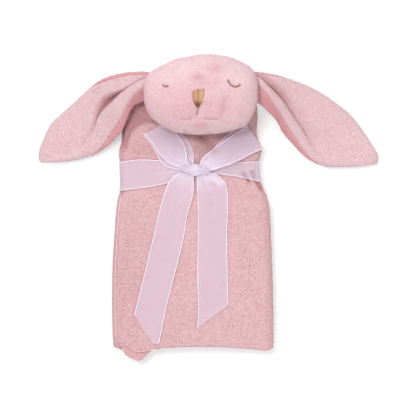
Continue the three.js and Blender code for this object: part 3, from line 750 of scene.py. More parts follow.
@dataclass
class Blanket:
    """The two-ply blanket, folded in half under the head and in thirds across.

    Attributes:
        ply: Thickness of one ply with its pile.
        gap: Space between plies.
        inset: How far the free side hem lies inside the fold below it.
        flat: Width and length of each ply when flat, in metres. Not used.
        spacing: Distance between the cloth's points across the front.
        hidden_spacing: The same on the strip of the lowest layer that shows at the right.
        wide_points: Points across each hidden layer.
        bend_points: Points round each bend.
        cap_points: Points round the fold under the head.
        shown: Layer above which the face's cloth shows, from 0 for the lowest to 2 for the front.
        rising: Layers from which and to which the hem passes from its inner to its front line.
        rows: Rows of points on the front half.
        even: Distance from the hem at which the evenly spaced rows start.
        edge_round: Distance from a free edge over which the ply rounds off.
        border: Width of the hem's border of pile on the hidden layers.
        corner: The lining has pile left of this place and below it, where it shows.
        hem: The front hem's line, by the place across.
        under_hem: The back half's hem line under the front one.
        inner_hem: The hem line of the thirds below.
        shoulder: Y of the fold under the head, by the place across.
    """

    bundle: Bundle
    finishes: Finishes
    trees: Trees
    ply: float = 2.4
    gap: float = 0.5
    inset: float = 4.0
    flat: tuple[float, float] = (0.68, 0.70)
    spacing: float = 1.8
    hidden_spacing: float = 1.6
    wide_points: int = 26
    bend_points: int = 9
    cap_points: int = 7
    shown: float = 1.2
    rising: tuple[float, float] = (1.1, 1.9)
    rows: int = 140
    even: float = 5.0
    edge_round: float = 2.6
    border: float = 9.0
    corner: Place = (-70.0, -186.0)
    hem: Rows = (
        (4, -176.5), (6, -181), (11, -186), (22.3, -193), (29, -197.6), (34, -199.6), (41.2, -199.4),
        (49.7, -197.8), (60, -196.2), (76.5, -194.9), (116.7, -193.4), (150, -194), (175.2, -195.3),
        (200.3, -197.3), (212, -198.9), (217, -197), (222, -192),
    )
    under_hem: Rows = (
        (4, -184), (9, -190), (12.2, -197), (15.5, -203), (20, -206.8), (26, -209.4), (30, -211.6),
        (34, -212.6), (38, -211.4), (42, -208.4), (46, -204.4), (50, -200.6), (55, -196.4), (62, -192),
        (222, -190),
    )
    inner_hem: Rows = (
        (0, -187), (2, -191), (5, -194.6), (8.5, -196.6), (12.3, -195.4), (18, -192.5), (60, -191),
        (200, -193), (212, -194.5), (222, -190),
    )
    shoulder: Rows = ((0, 108), (4, 121), (9, 134), (15, 142), (28, 144), (60, 142), (222, 142))

    def levels(self) -> tuple[float, float, float]:
        """Half thickness of the doubled sheet, distance between layers, and bend radius."""
        half = self.gap / 2 + self.ply + self.gap + self.ply
        pitch = 2 * half + self.gap
        return half, pitch, pitch / 2

    def turn(self, at: float, up: float, side: int, layer: int) -> list[tuple[float, ...]]:
        """Rows of the path round one bend.

        Args:
            at: Place across of the bend's middle.
            up: Its height.
            side: 1 for a bend to the right and -1 for one to the left.
            layer: Number of the layer that it comes from.

        Returns:
            The rows, as in the path.
        """
        bend = self.levels()[2]
        rows = []
        for angle in np.linspace(0, math.pi, self.bend_points + 2)[1:-1]:
            s, c = math.sin(angle), math.cos(angle)
            rows.append((at + side * bend * s, up + bend * c, s, side * c, layer - angle / math.pi, INSIDE))
        return rows

    def path(self, trim: float) -> Array:
        """The zigzag that the doubled sheet follows across the stack.

        Args:
            trim: How far the free side edges are held back.

        Returns:
            Rows of across, height, normal across, normal up, layer, and distance to the free edge.
        """
        half, pitch, bend = self.levels()
        left, right = half + bend, self.bundle.width - half - bend
        start, stop = self.inset + trim, self.bundle.width - self.inset - trim
        front = np.concatenate([start + NEAR_EDGE, np.arange(start + 4.5, right, self.spacing), [right]])
        wide = np.linspace(left, right, self.wide_points)
        beyond = np.arange(right, stop - 3.5, self.hidden_spacing)
        low = np.concatenate([wide[:-1], beyond, stop - NEAR_EDGE[::-1]])
        rows = [(x, half + 2 * pitch, 0, 1, 2, x - start) for x in front]
        rows += self.turn(right, half + pitch + bend, side=1, layer=2)
        rows += [(x, half + pitch, 0, -1, 1, INSIDE) for x in wide[::-1]]
        rows += self.turn(left, half + bend, side=-1, layer=1)
        rows += [(x, half, 0, 1, 0, stop - x) for x in low]
        return np.array(rows)

    def surface(self, trim: float, offset: float, rim: float) -> tuple[Array, Array]:
        """One surface of a ply through all its folds.

        Args:
            trim: How far the surface ends inside the blanket's edge.
            offset: Distance of the surface from the middle of the doubled sheet.
            rim: Distance that the surface curls to at its free edges.

        Returns:
            The grid of points, and the share of long pile at each.
        """
        path = self.path(trim)
        x, up, out_x, out_up, layer, free = path.T
        fold = look(self.shoulder, x)
        halves, hairy = [], []
        for half, hem, count in zip((1, -1), self.hem_lines(path, trim), (self.rows, self.rows // 2)):
            spread = np.linspace(0, 1, count)[1:]
            near = np.repeat(NEAR_EDGE[None], len(path), 0)
            reach = (fold - hem)[:, None] - self.even
            away = np.concatenate([near, self.even + spread[None] * reach], axis=1)
            edge = np.minimum(away, free[:, None])
            curl = np.sqrt(1 - (1 - np.clip(edge / self.edge_round, 0, 1)) ** 2)
            distance = rim + (offset - rim) * curl
            across = x[:, None] + half * distance * out_x[:, None]
            height = up[:, None] + half * distance * out_up[:, None]
            halves.append(self.bundle.place(across, hem[:, None] + away, height))
            outer = (layer[:, None] > self.shown) & (half > 0) | (edge < self.border)
            hairy.append(np.where(outer, 1.0, 0.0))
        cap = []
        for angle in np.linspace(0, math.pi, self.cap_points + 2)[1:-1]:
            distance, beyond = offset * math.cos(angle), offset * math.sin(angle)
            cap.append(self.bundle.place(x + distance * out_x, fold + beyond, up + distance * out_up))
        grid = np.concatenate([halves[0], np.stack(cap, axis=1), halves[1][:, ::-1]], axis=1)
        mask = np.concatenate([hairy[0], np.ones((len(path), len(cap))), hairy[1][:, ::-1]], axis=1)
        return grid, mask

    def hem_lines(self, path: Array, trim: float) -> tuple[Array, Array]:
        """Y of the front and the back half's hem at each point of the zigzag."""
        inner = look(self.inner_hem, path[:, 0])
        share = smooth(*self.rising, path[:, 4])
        front = inner + (look(self.hem, path[:, 0]) - inner) * share
        back = inner + 1.5 + (look(self.under_hem, path[:, 0]) - inner - 1.5) * share
        return front + trim, back + trim

    def ply_piece(self, node: str, near: float, far: float, trim: float) -> Piece:
        """Makes one ply as a closed thin cloth that stands for its CAD node.

        Args:
            node: CAD node that it replaces.
            near: Distance of its inner side from the middle of the doubled sheet.
            far: Distance of its outer side.
            trim: How far it ends inside the blanket's edge.

        Returns:
            The piece.
        """
        seam = self.gap / 2 + self.ply + self.gap / 2
        curled = far > seam
        outer, mask = self.surface(trim, far, seam + (0.15 if curled else -0.1))
        inner, _ = self.surface(trim, near, seam + (0.05 if curled else -0.2))
        bare = np.zeros(mask.size)
        corner = (inner[..., 1] < self.corner[1]) & (inner[..., 0] < self.corner[0])
        mesh = slab(node + "_cloth", outer, inner)
        set_share(mesh, "pile", *((mask, bare) if curled else (bare, corner)))
        # Painted shade from the bundle on the outer side, kept under the name nap.
        set_share(mesh, "nap", self.bundle.shade(outer[..., 0], outer[..., 1]), bare)
        piece = link(node + "_cloth", mesh, self.finishes.curled if curled else self.finishes.lining)
        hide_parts(node)
        return self.bend(piece)

    def bend(self, piece: Piece) -> Piece:
        """Bakes the placement of a piece of the blanket into its mesh."""
        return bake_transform(piece)

    def fur(self, name: str, cloth: Piece, density: float) -> None:
        """Grows the long pile on a ply, with a number of tufts to the square metre."""
        sizes = {"Density": density, "Reach": 0.003, "Rise": 0.0009, "Thickness": 0.00056, "Lean": 0.1}
        sizes["Seed"] = SEED
        pile = self.trees.grow(self.trees.pile, name, cloth.data, cloth.data.materials[0], sizes)
        self.bend(pile)
        LOG.info("%s: %d faces, %d in its cloth", name, len(pile.data.polygons), len(cloth.data.polygons))

    def build(self) -> None:
        """Makes the plies, the pile on the face and the pale edge of the turned hem."""
        half, inside = self.levels()[0], self.gap / 2
        lining = self.ply_piece("blanket_lining", inside, inside + self.ply, trim=0.4)
        face = self.ply_piece("blanket_face", half - self.ply, half, trim=0.8)
        self.fur("blanket_curls", face, density=105000.0)
        self.fur("lining_corner_curls", lining, density=200000.0)
        self.build_edge()

    def build_edge(self) -> None:
        """The rolled rim where the lining turns over at the front third's free edge, coloured paler than the
        lining as a painted highlight along it.
        """
        half, pitch, _ = self.levels()
        up = half + 2 * pitch + self.gap / 2 + self.ply + self.gap / 2 + 0.4
        start = self.inset + 0.2
        side = self.bundle.place(np.full(70, start), np.linspace(14, -172, 70), np.full(70, up))
        across = np.concatenate([np.linspace(start, 12, 14), np.linspace(13, 58, 40)])
        corner = self.bundle.place(across, look(self.hem, across) + 0.3, np.full(len(across), up))
        line = polylines("hem_edge", [np.concatenate([side, corner])])
        sizes = {"Radius": 0.0008, "Sides": 8, "End": 0.5}
        rim = self.trees.grow(self.trees.thread, "turned_hem_edge", line, self.finishes.edge, sizes)
        self.bend(rim)


@dataclass
class Head:
    """The stuffed head with its sleeping face.

    Attributes:
        centre: Middle of the head on the table.
        face_depth: Height of the face above the side seam.
        nape_depth: Depth of the nape below it.
        rounding: How full the cover is towards the seam.
        seam: Depth of the side seam's groove, and its width as a share of the head's height.
        outline: Distance of the outline from the middle, by the angle in degrees.
        around: Points round the head in each row.
        down: Rows of points from the face to the nape.
        nose: Middle of the nose's upper edge.
        nose_size: Half width of the nose, and the length of its longest thread.
    """

    bundle: Bundle
    finishes: Finishes
    trees: Trees
    centre: Place = (-12.9, 155.4)
    face_depth: float = 38.0
    nape_depth: float = 28.0
    rounding: float = 2.6
    seam: tuple[float, float] = (0.8, 0.06)
    outline: Rows = (
        (1.6, 79.6), (10.3, 80.9), (18.1, 81.3), (25.6, 79.8), (36.1, 73.9), (48.7, 67.2), (63.3, 61.1),
        (82.4, 56.4), (104.7, 54.9), (127.4, 60.8), (142.1, 66.1), (153.0, 74.1), (160.0, 78.5),
        (167.3, 79.5), (177.3, 79.2), (186.2, 79.1), (194.2, 78.4), (203.0, 76.8), (213.6, 72.1),
        (224.9, 67.4), (238.9, 62.7), (253.0, 58.0), (277.7, 56.3), (295.4, 60.3), (308.7, 66.0),
        (320.8, 73.0), (326.1, 77.3), (334.9, 77.8), (343.5, 79.0), (351.6, 79.7),
    )
    around: int = 176
    down: int = 112
    nose: Place = (-16.2, 162.2)
    nose_size: tuple[float, float] = (8.0, 24.2)

    def __post_init__(self) -> None:
        """Finds the side seam's height."""
        self.seam_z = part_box("head_front")[0].z / MM

    def relief(self, x: Array, y: Array) -> Array:
        """Height of the face's muzzle, cheeks, eye hollows and creases."""
        muzzle = ((3.2, (-38, 137), (20, 17)), (3.2, (5, 138), (20, 17)), (1.6, (-16, 156), (22, 14)))
        eyes = ((-1.2, (-60, 169), (13, 9)), (-1.2, (33, 170), (14, 9)))
        creases = (
            (-1.8, ((-16.5, 138), (-18, 131), (-18.6, 123)), 3.2),
            (-0.9, ((21, 150), (20, 139), (15, 128)), 3.8),
            (-1.3, ((-41.4, 120.8), (-33, 121), (-25.7, 122.1)), 2.2),
            (-1.3, ((-7.3, 122), (2, 120.9), (12.4, 121.4)), 2.2),
            (-1.4, ((-16.5, 118), (-14, 108)), 5.0),
            (-0.7, ((-58, 190), (-52, 182), (-50, 177)), 3.0),
        )
        return carve(x, y, muzzle + eyes, creases) + 0.5 * ripple(x, y, length=26, seed=8)

    def brushed(self, x: Array, y: Array) -> Array:
        """How far the face turns to its deep colour, from 0 to 1: brushed nap patches on the forehead,
        painted shade on the lower cheeks and in the right muzzle crease, and a darker patch below the mouth.
        """
        patches = (
            (0.55, (7, 191), (14, 8)),
            (0.5, (-17, 180), (9, 6)),
            (0.3, (-6, 172), (20, 8)),
            (0.45, (-14, 111), (10, 5)),
            # Painted shade on the lower cheeks.
            (0.4, (8, 140), (46, 26)),
            (0.34, (-52, 142), (40, 30)),
        )
        return np.clip(carve(x, y, patches, ((0.2, ((20, 145), (19.5, 138), (14, 127)), 3.5),)), 0, 1)

    def grid(self, shrink: float) -> Array:
        """Rows of points from the middle of the face to the middle of the nape.

        Args:
            shrink: Distance inside the cover.

        Returns:
            Grid of points.
        """
        drop = np.linspace(0, math.pi, self.down)[:, None]
        turn = np.linspace(0, 2 * math.pi, self.around, endpoint=False)[None]
        spread = np.abs(np.sin(drop)) ** (2 / self.rounding)
        level = np.sign(np.cos(drop)) * np.abs(np.cos(drop)) ** (2 / self.rounding)
        before = tuple((a - 360, r) for a, r in self.outline[-3:])
        after = tuple((a + 360, r) for a, r in self.outline[:3])
        reach = look(before + self.outline + after, np.degrees(turn[0]))[None] - shrink
        x = self.centre[0] + spread * reach * np.cos(turn)
        y = self.centre[1] + spread * reach * np.sin(turn)
        depth = np.where(level > 0, self.face_depth, self.nape_depth) - shrink
        z = self.seam_z + depth * level + self.relief(x, y) * smooth(0.05, 0.6, level)
        z = z - self.seam[0] * np.exp(-((level / self.seam[1]) ** 2))
        return np.stack(np.broadcast_arrays(x, y, z), axis=-1)

    def closed(self, name: str, shrink: float) -> Mesh:
        """Closed mesh of the cover or of what fills it, some distance inside the cover."""
        grid = self.grid(shrink)
        rows, columns = grid.shape[0] - 2, grid.shape[1]
        points = np.concatenate([grid[1:-1].reshape(-1, 3), grid[0, :1], grid[-1, :1]])
        faces = grid_faces(rows, columns, closed=True)
        top, low, last = rows * columns, rows * columns + 1, (rows - 1) * columns
        faces += [(i, (i + 1) % columns, top) for i in range(columns)]
        faces += [(last + (i + 1) % columns, last + i, low) for i in range(columns)]
        return outwards(to_mesh(name, points, faces))

    def build(self) -> None:
        """Makes the cover, its filling, the nap and the face."""
        cover = link("head_plush", self.closed("head_plush", shrink=0.8), self.finishes.head)
        points = np.array([v.co for v in cover.data.vertices]) / MM
        # Painted shade on the cheeks and in the muzzle crease, with the forehead's brushed nap patches, kept
        # under the name nap.
        set_share(cover.data, "nap", self.brushed(points[:, 0], points[:, 1]))
        set_share(cover.data, "pile", smooth(self.seam_z - 14, self.seam_z - 4, points[:, 2]))
        dress(cover, "smooth_plush", "head", "head_front", "head_back")
        filling = link("head_filling", self.closed("head_filling", shrink=3.0), self.finishes.filling)
        dress(filling, "stuffing", "head", "head_stuffing")
        sizes = {"Density": 300000.0, "Reach": 0.0018, "Rise": 0.0008, "Sink": 0.0003, "Thickness": 0.00036}
        sizes |= {"Lean": 0.15, "Seed": SEED}
        nap = self.trees.grow(self.trees.pile, "head_nap", cover.data, self.finishes.head, sizes)
        dress(nap, "smooth_plush", "head")
        corners = [face.vertices for face in cover.data.polygons]
        self.face_tree = BVHTree.FromPolygons([v.co for v in cover.data.vertices], corners)
        self.build_face()
        LOG.info("head: %d faces, %d in its nap", len(cover.data.polygons), len(nap.data.polygons))

    def seat(self, line: Array, above: float) -> Array:
        """Lays a line of places on the face, a distance above the cover."""
        seated = []
        for x, y in line:
            hit = self.face_tree.ray_cast(Vector((x * MM, y * MM, 0.3)), Vector((0, 0, -1)))[0]
            seated.append((x, y, hit.z / MM + above))
        return np.array(seated)

    def build_face(self) -> None:
        """Sews the nose, the line under it, the eyes and the mouth."""
        self.sew_nose()
        left = ((-65.0, 168.8), (-63.4, 167.2), (-61.4, 166.3), (-59.6, 166.5), (-58.2, 167.8))
        right = ((24.6, 175), (26.2, 171.6), (29, 168.4), (32.4, 166.4), (36, 166.1), (39, 167), (41.2, 169))
        nose = ((-16.5, 137), (-17, 132), (-18.6, 127))
        self.sew_line("nose_line", nose, length=1.5, radius=0.0005)
        self.sew_line("left_eye", left, length=2.6, radius=0.0011)
        self.sew_line("right_eye", right, length=2.5, radius=0.0011)
        self.sew_mouth("left_mouth", ((-40, 120.9), (-33, 121), (-25.7, 122.3)))
        self.sew_mouth("right_mouth", ((-8, 122.2), (2, 120.9), (11, 121.4)))

    def sew_nose(self) -> None:
        """Satin stitched nose: upright threads, one beside the other, frayed at the top.

        The real threads are 0.4 mm apart, too fine to show, so they are drawn 1.3 mm apart.
        """
        chance = np.random.default_rng(SEED)
        shares = np.linspace(0, 1, 60)
        widths = look(((0, 8.3), (0.25, 8.4), (0.5, 7.6), (0.72, 5.8), (0.9, 3.0), (1, 0.8)), shares)
        share = np.linspace(0, 1, 14)
        half, length = self.nose_size
        lines, marks = [], []
        for offset in np.linspace(-half, half, 13):
            deepest = shares[widths >= abs(offset) - 0.3].max()
            top = self.nose[1] + chance.uniform(-2.4, 1.6) - 0.8 * (abs(offset) < 1)
            low = self.nose[1] - length * deepest - chance.uniform(0, 0.5)
            y = top + (low - top) * share
            x = self.nose[0] + offset * (1 - 0.12 * share) - 0.7 * share
            line = self.seat(np.stack([x, y], axis=1), above=0.1)
            line[:, 2] += 0.8 * np.sin(math.pi * (0.06 + 0.88 * share)) ** 0.5 + 0.3 * (1 - (offset / 9) ** 2)
            lines.append(line)
            darkening = chance.uniform(0, 0.35) + 0.2 * (abs(offset) < 1)
            marks.append(np.clip(darkening + smooth(149, 140, y), 0, 1))
        threads = polylines("nose_threads", lines)
        set_share(threads, "tip", *marks)
        sizes = {"Radius": 0.00082, "Sides": 6, "End": 0.4}
        nose = self.trees.grow(self.trees.thread, "nose_satin", threads, self.finishes.tan, sizes)
        dress(nose, "tan_thread", "head", "nose_satin_stitch")

    def sew_line(self, name: str, points: Rows, length: float, radius: float) -> None:
        """Sews a line of close slanted stitches.

        Args:
            name: Name of the piece, and the start of its CAD node's name.
            points: Places that the line passes, on the face.
            length: Length of each stitch.
            radius: Radius of the thread, in metres.
        """
        line = polylines(name, [self.seat(trace(points, np.linspace(0, 1, 40)), above=0.8)])
        sizes = {"Spacing": 0.0006, "Length": length * MM, "Radius": radius, "Slant": 0.45}
        sewn = self.trees.grow(self.trees.stitch, name, line, self.finishes.tan, sizes)
        set_share(sewn.data, "tip", np.full(len(sewn.data.vertices), 0.65))
        dress(sewn, "tan_thread", "head", name + "_stitch")

    def sew_mouth(self, name: str, points: Rows) -> None:
        """Sews the few sunk stitches that draw the mouth's crease in."""
        length = 0.13
        lines = []
        for start in np.linspace(0.04, 0.82, 4):
            lines.append(self.seat(trace(points, np.linspace(start, start + length, 6)), above=0.5))
        sizes = {"Radius": 0.0005, "Sides": 6, "End": 0.4}
        threads = polylines(name, lines)
        sewn = self.trees.grow(self.trees.thread, name, threads, self.finishes.mauve, sizes)
        dress(sewn, "pink_thread", "head", name + "_stitch")


@dataclass
class Ear:
    """A floppy ear: a smooth lining in front, and a curled backing that rolls round its edges.

    Places across the ear are shares from its upper edge, 0, to its lower edge, 1. On its back they
    run on from 1 to 2, so that a seam that has rolled to the back lies below 0 or above 1.

    Attributes:
        side: Which ear it is.
        upper: Places of the upper edge from the root to the tip.
        lower: Places of the lower edge.
        lines: Upper seam, pocket's edge, fold and lower seam across the ear, by the share to the tip.
        heights: Height of the upper edge, pocket's edge, hollow, fold and lower edge, the same way.
        pocket: How strong the painted shade in the hollow beside the fold is, by the share to the tip.
        fade: Share across the ear over which that painted shade comes in.
        root: Where the ear starts to leave the head, and where it is free of it, across and up. Not used.
        flat: Width and length of each ply when flat, in metres. Not used.
        cut: Area of each ply when flat, in square metres. Not used.
        half_thickness: Half of the ear's thickness.
        tip: Share to the tip at which the ear starts to thin out.
        groove: Depth of a seam's groove, and its width as a share across.
        ply_share: Thickness of a ply as a share of the way to the ear's middle.
    """

    finishes: Finishes
    trees: Trees
    side: Side
    upper: Rows
    lower: Rows
    lines: Rows
    heights: Rows
    pocket: Rows
    fade: float
    root: tuple[Place, Place]
    flat: tuple[float, float] = (0.095, 0.215)
    cut: float = 0.0150
    half_thickness: float = 2.3
    tip: float = 0.93
    groove: tuple[float, float] = (0.7, 0.02)
    ply_share: float = 0.4

    def middle(self, along: Array, across: Array) -> Array:
        """Middle surface of the ear at shares along and across it."""
        grid = between(trace(self.upper, along), trace(self.lower, along), 1.026 * across - 0.013)
        z = np.empty((len(along), len(across)))
        for i, (line, height) in enumerate(zip(Curve(self.lines)(along), Curve(self.heights)(along))):
            _, brow, fold, seam = line
            past = fold + 0.5 * (min(seam, 0.97) - fold)
            places = (0, min(brow, fold - 0.06), fold - 0.028, fold + 0.012, past, 1)
            z[i] = look(list(zip(places, (*height[:4], height[3] + 0.4, height[4]))), across)
        z = z + 0.7 * ripple(grid[..., 0], grid[..., 1], length=48, seed=21)
        return np.concatenate([grid, z[..., None]], axis=-1)

    def shells(self) -> tuple[Array, Array, Array, Array]:
        """Front and back surface of the ear, and the shares along and across."""
        steps, even = np.linspace(0, 1, 92), np.linspace(0, 1, 66)
        along = 0.6 * steps + 0.2 * (1 - np.cos(math.pi * steps))
        across = 0.5 * even + 0.25 * (1 - np.cos(math.pi * even))
        grid = self.middle(along, across)
        normal = normals(grid)
        normal = np.where(normal[..., 2:3] < 0, -normal, normal)
        thick = self.half_thickness * (1 - np.abs(2 * across - 1) ** 12) ** 0.4
        taper = np.sqrt(np.clip(1 - np.clip((along - self.tip) / (1 - self.tip), 0, 1) ** 2, 0.02, 1))
        depth, width = self.groove
        sunk = np.zeros((len(along), len(across)))
        for seam in Curve(self.lines)(along)[:, (0, 3)].T:
            sunk = sunk + depth * np.exp(-(((across[None] - seam[:, None]) / width) ** 2))
        reach = thick[None] * taper[:, None]
        front = grid + normal * np.maximum(reach - sunk, 0.1)[..., None]
        back = grid - normal * reach[..., None]
        back[..., 2] = np.maximum(back[..., 2], 0.3)
        front[..., 2] = np.maximum(front[..., 2], back[..., 2] + 0.2)
        return front, back, along, across

    def ring(self, front: Array, back: Array, across: Array) -> tuple[Array, Array]:
        """The surface right round the ear, from below 0 on its back to above 2 on its front."""
        near = across < 0.5
        keys = np.concatenate([-across[near][:0:-1], across, 2 - across[-2::-1], 2 + across[near][1:]])
        parts = [back[:, near][:, :0:-1], front, back[:, -2::-1], front[:, near][:, 1:]]
        return keys, np.concatenate(parts, axis=1)

    def build(self) -> None:
        """Makes the lining, the backing and the pile on both."""
        front, back, along, across = self.shells()
        top, brow, fold, low = (column[:, None] for column in Curve(self.lines)(along).T)
        lining = top + (low - top) * np.linspace(0, 1, 46)[None]
        backing = low + (2 + top - low) * np.linspace(0, 1, 60)[None]
        middle = (front + back) / 2
        keys, skin = self.ring(front, back, across)
        _, core = self.ring(middle, middle, across)
        # Painted shade in the lining's hollow above the fold, kept under the name nap.
        dark = smooth(brow - self.fade, brow + 0.05, lining) * smooth(fold + 0.012, fold - 0.012, lining)
        dark = Curve(self.pocket)(along) * dark
        for part, places, shade in (("lining", lining, dark), ("backing", backing, 0 * backing)):
            outer, inner = self.pick(skin, keys, places), self.pick(core, keys, places)
            self.add_ply(part, outer, outer + (inner - outer) * self.ply_share, shade)

    def pick(self, grid: Array, known: Array, wanted: Array) -> Array:
        """Points of each row at other shares across."""
        result = np.empty((*wanted.shape, 3))
        for i, k in np.ndindex(len(grid), 3):
            result[i, :, k] = np.interp(wanted[i], known, grid[i, :, k])
        return result

    def add_ply(self, part: str, outer: Array, inner: Array, shade: Array) -> None:
        """Makes one ply of the ear and its pile.

        Args:
            part: Which ply it is, the lining or the backing.
            outer: Its outer side.
            inner: Its inner side.
            shade: Painted shade at each point, from 0 to 1.
        """
        name = f"{self.side.value}_ear_{part}"
        material, slot = self.finishes.ear, "ear_plush"
        sizes = {"Density": 300000.0, "Reach": 0.0018, "Rise": 0.0009, "Sink": 0.0003, "Thickness": 0.00036}
        if part == "backing":
            material, slot = self.finishes.backing, "curly_pile"
            sizes = {"Density": 120000.0, "Reach": 0.0026, "Rise": 0.0008, "Thickness": 0.0005}
        mesh = slab(name + "_cloth", outer, inner)
        bare = np.zeros(shade.size)
        set_share(mesh, "pile", bare + 1, bare)
        # Painted shade, kept under the name nap.
        set_share(mesh, "nap", shade, bare)
        piece = link(name + "_cloth", mesh, material)
        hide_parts(name)
        sizes |= {"Lean": 0.12, "Seed": SEED}
        fibres = self.trees.grow(self.trees.pile, name + "_pile", mesh, material, sizes)
        for layer in (piece, fibres):
            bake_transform(layer)
        LOG.info("%s: %d faces, %d in its pile", name, len(mesh.polygons), len(fibres.data.polygons))


@dataclass
class Ribbon:
    """The organza ribbon: its band, knot, loops and tails.

    Attributes:
        knot: Middle of the knot.
        ease: Height of the ribbon above the cloth.
        over_band: How much higher it lies where it crosses the band.
        gathered: Distance from the knot over which the ribbon looks gathered.
        behind: Height below which the band lies behind the blanket, not gathered.
        band_top: Upper edge of the band, by the place across.
        band_low: Its lower edge.
    """

    bundle: Bundle
    finishes: Finishes
    trees: Trees
    knot: Place = (-20.0, 51.0)
    ease: float = 1.7
    over_band: float = 1.6
    gathered: float = 33.0
    behind: float = 15.0
    band_top: Rows = (
        (-124.5, 61.1), (-110, 63.6), (-95.5, 65), (-70, 63.8), (-50, 61), (-36, 58), (-26, 55.6),
        (-14, 54.6), (-4, 54), (8, 54.6), (24, 57.6), (42.8, 61.5), (67.5, 62.4),
    )
    band_low: Rows = (
        (-124.5, 22.8), (-110, 24.8), (-90.3, 27.2), (-58.5, 33.4), (-42, 39.2), (-28, 45.6), (-14, 47.4),
        (0, 46.6), (10, 45.8), (30, 43.6), (48, 40.6), (67.5, 35.4),
    )

    def rest(self, x: Array, y: Array) -> Array:
        """Height at which a ribbon lies on the blanket, over the band near the knot."""
        over = smooth(15, 24, y) * smooth(68, 62, y)
        return self.bundle.front(x, y) + self.ease + self.over_band * over

    def strip(
        self,
        name: str,
        node: str,
        body: str,
        grid: Array,
        double: Array | float = 0.0,
        free: tuple[Place, Place] | None = None,
    ) -> None:
        """Makes a stretch of ribbon with the bright selvedge threads along both its edges.

        Args:
            name: Name of the piece.
            node: CAD node that it replaces.
            body: Body that it moves with, when it is not free.
            grid: Points along and across it.
            double: How far the cloth lies double or turned away at each point.
            free: Where it starts to leave the knot, and where it is free of it. Only whether it is given is
                read: a free stretch is kept in place and rides no body.
        """
        steps = np.linalg.norm(np.diff(grid, axis=0), axis=2).mean(axis=1)
        along = np.concatenate([[0], np.cumsum(steps)]) * MM
        across = np.linspace(0, RIBBON_WIDTH, grid.shape[1])
        uvs = np.stack(np.meshgrid(along, across, indexing="ij"), axis=-1)
        mesh = to_mesh(name, grid, grid_faces(*grid.shape[:2]), uvs)
        far = np.hypot(grid[..., 0] - self.knot[0], 1.4 * (grid[..., 1] - self.knot[1]))
        near = np.exp(-((far / self.gathered) ** 2))
        gather = np.where(grid[..., 2] > self.behind, near, 0) + double
        set_share(mesh, "gather", np.clip(gather, 0, 1))
        cloth = link(name, mesh, self.finishes.organza)
        normal = normals(grid)
        line = polylines(name + "_edges", [grid[:, k] + 0.05 * normal[:, k] for k in (0, -1)])
        sizes = {"Radius": 0.00055, "Sides": 6, "End": 1.0}
        selvedge = self.trees.grow(self.trees.thread, name + "_selvedge", line, self.finishes.selvedge, sizes)
        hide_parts(node)
        for piece in (cloth, selvedge):
            if free is None:
                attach(piece, body)
            else:
                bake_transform(piece)
        LOG.info("%s: %d faces", name, len(mesh.polygons))

    def pleats(self, columns: int, near: Array, height: float, count: float, seed: int) -> Array:
        """Gathers across a ribbon, strongest near the knot.

        Args:
            columns: Points across the ribbon.
            near: Strength of the gathers at each row.
            height: Their height.
            count: How many there are across.
            seed: Which uneven set to use.

        Returns:
            Height of the gathers at each point.
        """
        turns = 2 * math.pi * count * np.linspace(0, 1, columns)[None]
        first, second = np.random.default_rng(seed).uniform(0, 6.28, 2)
        wave = np.sin(turns + first) + 0.6 * np.sin(1.7 * turns + second)
        return height * near[:, None] * (0.6 + 0.5 * wave)

    def build(self) -> None:
        """Makes every stretch of the ribbon and its knot."""
        self.build_band()
        self.build_tails()
        self.build_loops()
        self.build_knot()

    def build_band(self) -> None:
        """The turn of ribbon round the waist, narrow where it is gathered into the knot."""
        across = np.linspace(-121.8, 65.0, 98)
        share = np.linspace(0, 1, 21)[None]
        top, low = Curve(self.band_top)(across), Curve(self.band_low)(across)
        y = low + (top - low) * share
        x = np.repeat(across[:, None], share.size, axis=1)
        near = np.exp(-(((across - self.knot[0]) / 42) ** 2))
        pleats = self.pleats(share.size, near, height=1.2, count=4.5, seed=2)
        z = self.bundle.front(x, y) + self.ease + pleats
        z = z + 0.5 * smooth(20, 60, across)[:, None] * np.sin(share * 3 * math.pi + x / 30)
        z = z + 1.3 * smooth(-106, -117, across)[:, None]
        face = np.stack([x, y, z], axis=-1)
        right, left = self.wrap(face[-1], 1), self.wrap(face[0], 0)[::-1]
        back = right[-1] + (left[0] - right[-1]) * np.linspace(0, 1, 40)[1:-1, None, None]
        grid = np.concatenate([face, right, back, left], axis=0)
        turned = smooth(-120.5, -123, grid[..., 0]) + smooth(63.5, 66, grid[..., 0])
        self.strip("ribbon_band_cloth", "ribbon_band", "root", grid, double=0.5 * turned)

    def wrap(self, edge: Array, side: int) -> Array:
        """Carries the band from its front edge round the blanket's side to the table.

        Args:
            edge: The front stretch's last points.
            side: 0 for the left side of the blanket and 1 for the right.

        Returns:
            Points down the side.
        """
        x, y, z = edge.T
        reach = Curve(self.bundle.sides)(y)[:, side] + (1.4 if side else -1.4)
        rows = []
        for share in np.linspace(0, 1, 18)[1:]:
            out = x + (reach - x) * math.sin(min(1, 1.7 * share) * math.pi / 2)
            rows.append(np.stack([out, y, 1 + (z - 1) * (1 - share**2)], axis=-1))
        return np.array(rows)

